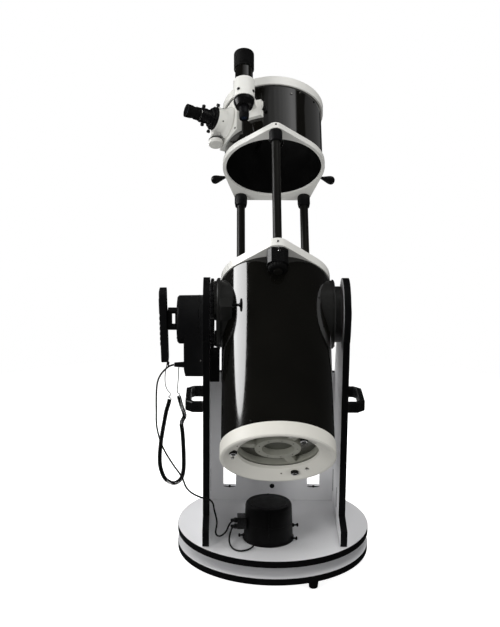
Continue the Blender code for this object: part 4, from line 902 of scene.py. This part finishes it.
# ---------------------------------------------------------------- floor and light
def make_floor():
    mesh = bpy.data.meshes.new("floor")
    work = bmesh.new()
    bmesh.ops.create_circle(work, cap_ends=True, segments=128, radius=3.0)
    work.to_mesh(mesh)
    work.free()
    floor = enter("floor", mesh)
    floor.visible_diffuse = floor.visible_glossy = False
    mat, tree, shader = node_tree("floor_pale")
    place = tree.nodes.new("ShaderNodeTexCoord").outputs["Object"]
    tint = blend_colours(tree, noise(tree, place, 3.0, 4), (0.9, 0.9, 0.895), (0.93, 0.93, 0.93))
    tree.links.new(tint, shader.inputs["Base Color"])
    put(shader, Roughness=0.85, Emission_Color=(1, 1, 1, 1), Emission_Strength=0.75)
    radius = tree.nodes.new("ShaderNodeVectorMath")
    radius.operation = "LENGTH"
    tree.links.new(place, radius.inputs[0])
    fade = spread(tree, radius.outputs["Value"], 1.1, 1.9, 0.0, 1.0)
    clear = tree.nodes.new("ShaderNodeBsdfTransparent")
    mix = tree.nodes.new("ShaderNodeMixShader")
    out = tree.nodes["Material Output"]
    tree.links.new(fade, mix.inputs[0])
    tree.links.new(shader.outputs[0], mix.inputs[1])
    tree.links.new(clear.outputs[0], mix.inputs[2])
    tree.links.new(mix.outputs[0], out.inputs["Surface"])
    mesh.materials.append(mat)


def make_world():
    """White to the camera, dim fill for matt surfaces and near black in reflections."""
    world = bpy.data.worlds.new("studio")
    bpy.context.scene.world = world
    world.use_nodes = True
    tree = world.node_tree
    ray = tree.nodes.new("ShaderNodeLightPath")
    fill = tree.nodes["Background"]
    dark = tree.nodes.new("ShaderNodeBackground")
    white = tree.nodes.new("ShaderNodeBackground")
    for node, strength in ((fill, 0.26), (dark, 0.02), (white, 1.0)):
        put(node, Color=(1.0, 1.0, 1.0, 1.0), Strength=strength)
    last = fill
    for kind, other in (("Is Glossy Ray", dark), ("Is Camera Ray", white)):
        mix = tree.nodes.new("ShaderNodeMixShader")
        tree.links.new(ray.outputs[kind], mix.inputs[0])
        tree.links.new(last.outputs[0], mix.inputs[1])
        tree.links.new(other.outputs[0], mix.inputs[2])
        last = mix
    tree.links.new(last.outputs[0], tree.nodes["World Output"].inputs["Surface"])


def reflected(turn, s, distance):
    """Where a light shows in the lower tube's gloss, turn round from its near line, s along it."""
    normal = TUBE.to_3x3() @ Vector((sin(turn), -cos(turn), 0))
    spot = TUBE @ Vector((TUBE_R * sin(turn), -TUBE_R * cos(turn), s))
    look = (spot - CAMERA_PLACE).normalized()
    return spot + (look - 2 * look.dot(normal) * normal) * distance, spot


def softbox(name, place, target, across, along, power, shape="RECTANGLE", sheen=False):
    """A flat lamp at place that faces target, its long side along the tube. A sheen lamp shows
    only in glossy surfaces, and any other lights only what is matt."""
    data = bpy.data.lights.new(name, "AREA")
    data.shape = shape
    data.size, data.size_y = across, along
    data.energy = power
    lamp = enter(name, data)
    back = (place - target).normalized()
    side = (TUBE.to_3x3() @ Vector((0, 0, 1))).cross(back).normalized()
    lamp.matrix_world = Matrix.Translation(place) @ Matrix((side, back.cross(side),
        back)).transposed().to_4x4()
    lamp.visible_camera = False
    lamp.visible_glossy, lamp.visible_diffuse = sheen, not sheen


STREAK, CAGE_MIDDLE = radians(-42.5), 0.62      # the lower tube's bright line; the cage's middle


def make_lights():
    place, spot = reflected(STREAK, 0.0, 2.2)
    softbox("streak_left", place, spot, 1.3, 1.06, 24, "ELLIPSE", True)
    place, spot = reflected(STREAK, 0.3, 2.6)
    softbox("left_fill", place, spot, 1.3, 3.6, 46)
    sheen_end, half_turn = 24, 5.9      # degrees: where the cage's sheen stops, and half a metre wide
    for number in range(9):
        across = 0.4 * 1.3 ** number
        place, spot = reflected(radians(sheen_end - half_turn * across), CAGE_MIDDLE, 2.4)
        softbox("cage_sheen_%d" % number, place, spot, across, 0.5, 0.23 * across, sheen=True)
    place, spot = reflected(radians(54), CAGE_MIDDLE, 2.4)
    softbox("cage_sheen_right", place, spot, 2.4, 0.5, 0.55, sheen=True)
    middle = (0, -0.1, 0.9)
    for name, place, target, across, along, power in (
            ("front_fill", (0.4, -2.4, 4.0), (0, -0.2, 0.1), 1.6, 1.2, 34),
            ("front_left", (-2.4, -2.6, 1.0), middle, 1.2, 1.6, 50),
            ("front_right", (2.6, -2.4, 1.0), middle, 1.2, 1.6, 27),
            ("back_left", (-2.2, 2.4, 2.6), (0, 0.1, 0.5), 1.6, 1.4, 20),
            ("top_fill", (0.7, 0.3, 4.2), (0, 0, 0.3), 2.0, 2.0, 38),
            ("back_low", (-1.2, 2.6, 0.3), (0.2, 0, 0.6), 0.4, 1.0, 30)):
        softbox(name, Vector(place), Vector(target), across, along, power)


make_floor()
make_world()
make_lights()
view = bpy.context.scene.view_settings
view.view_transform = "Standard"
view.look = "None"
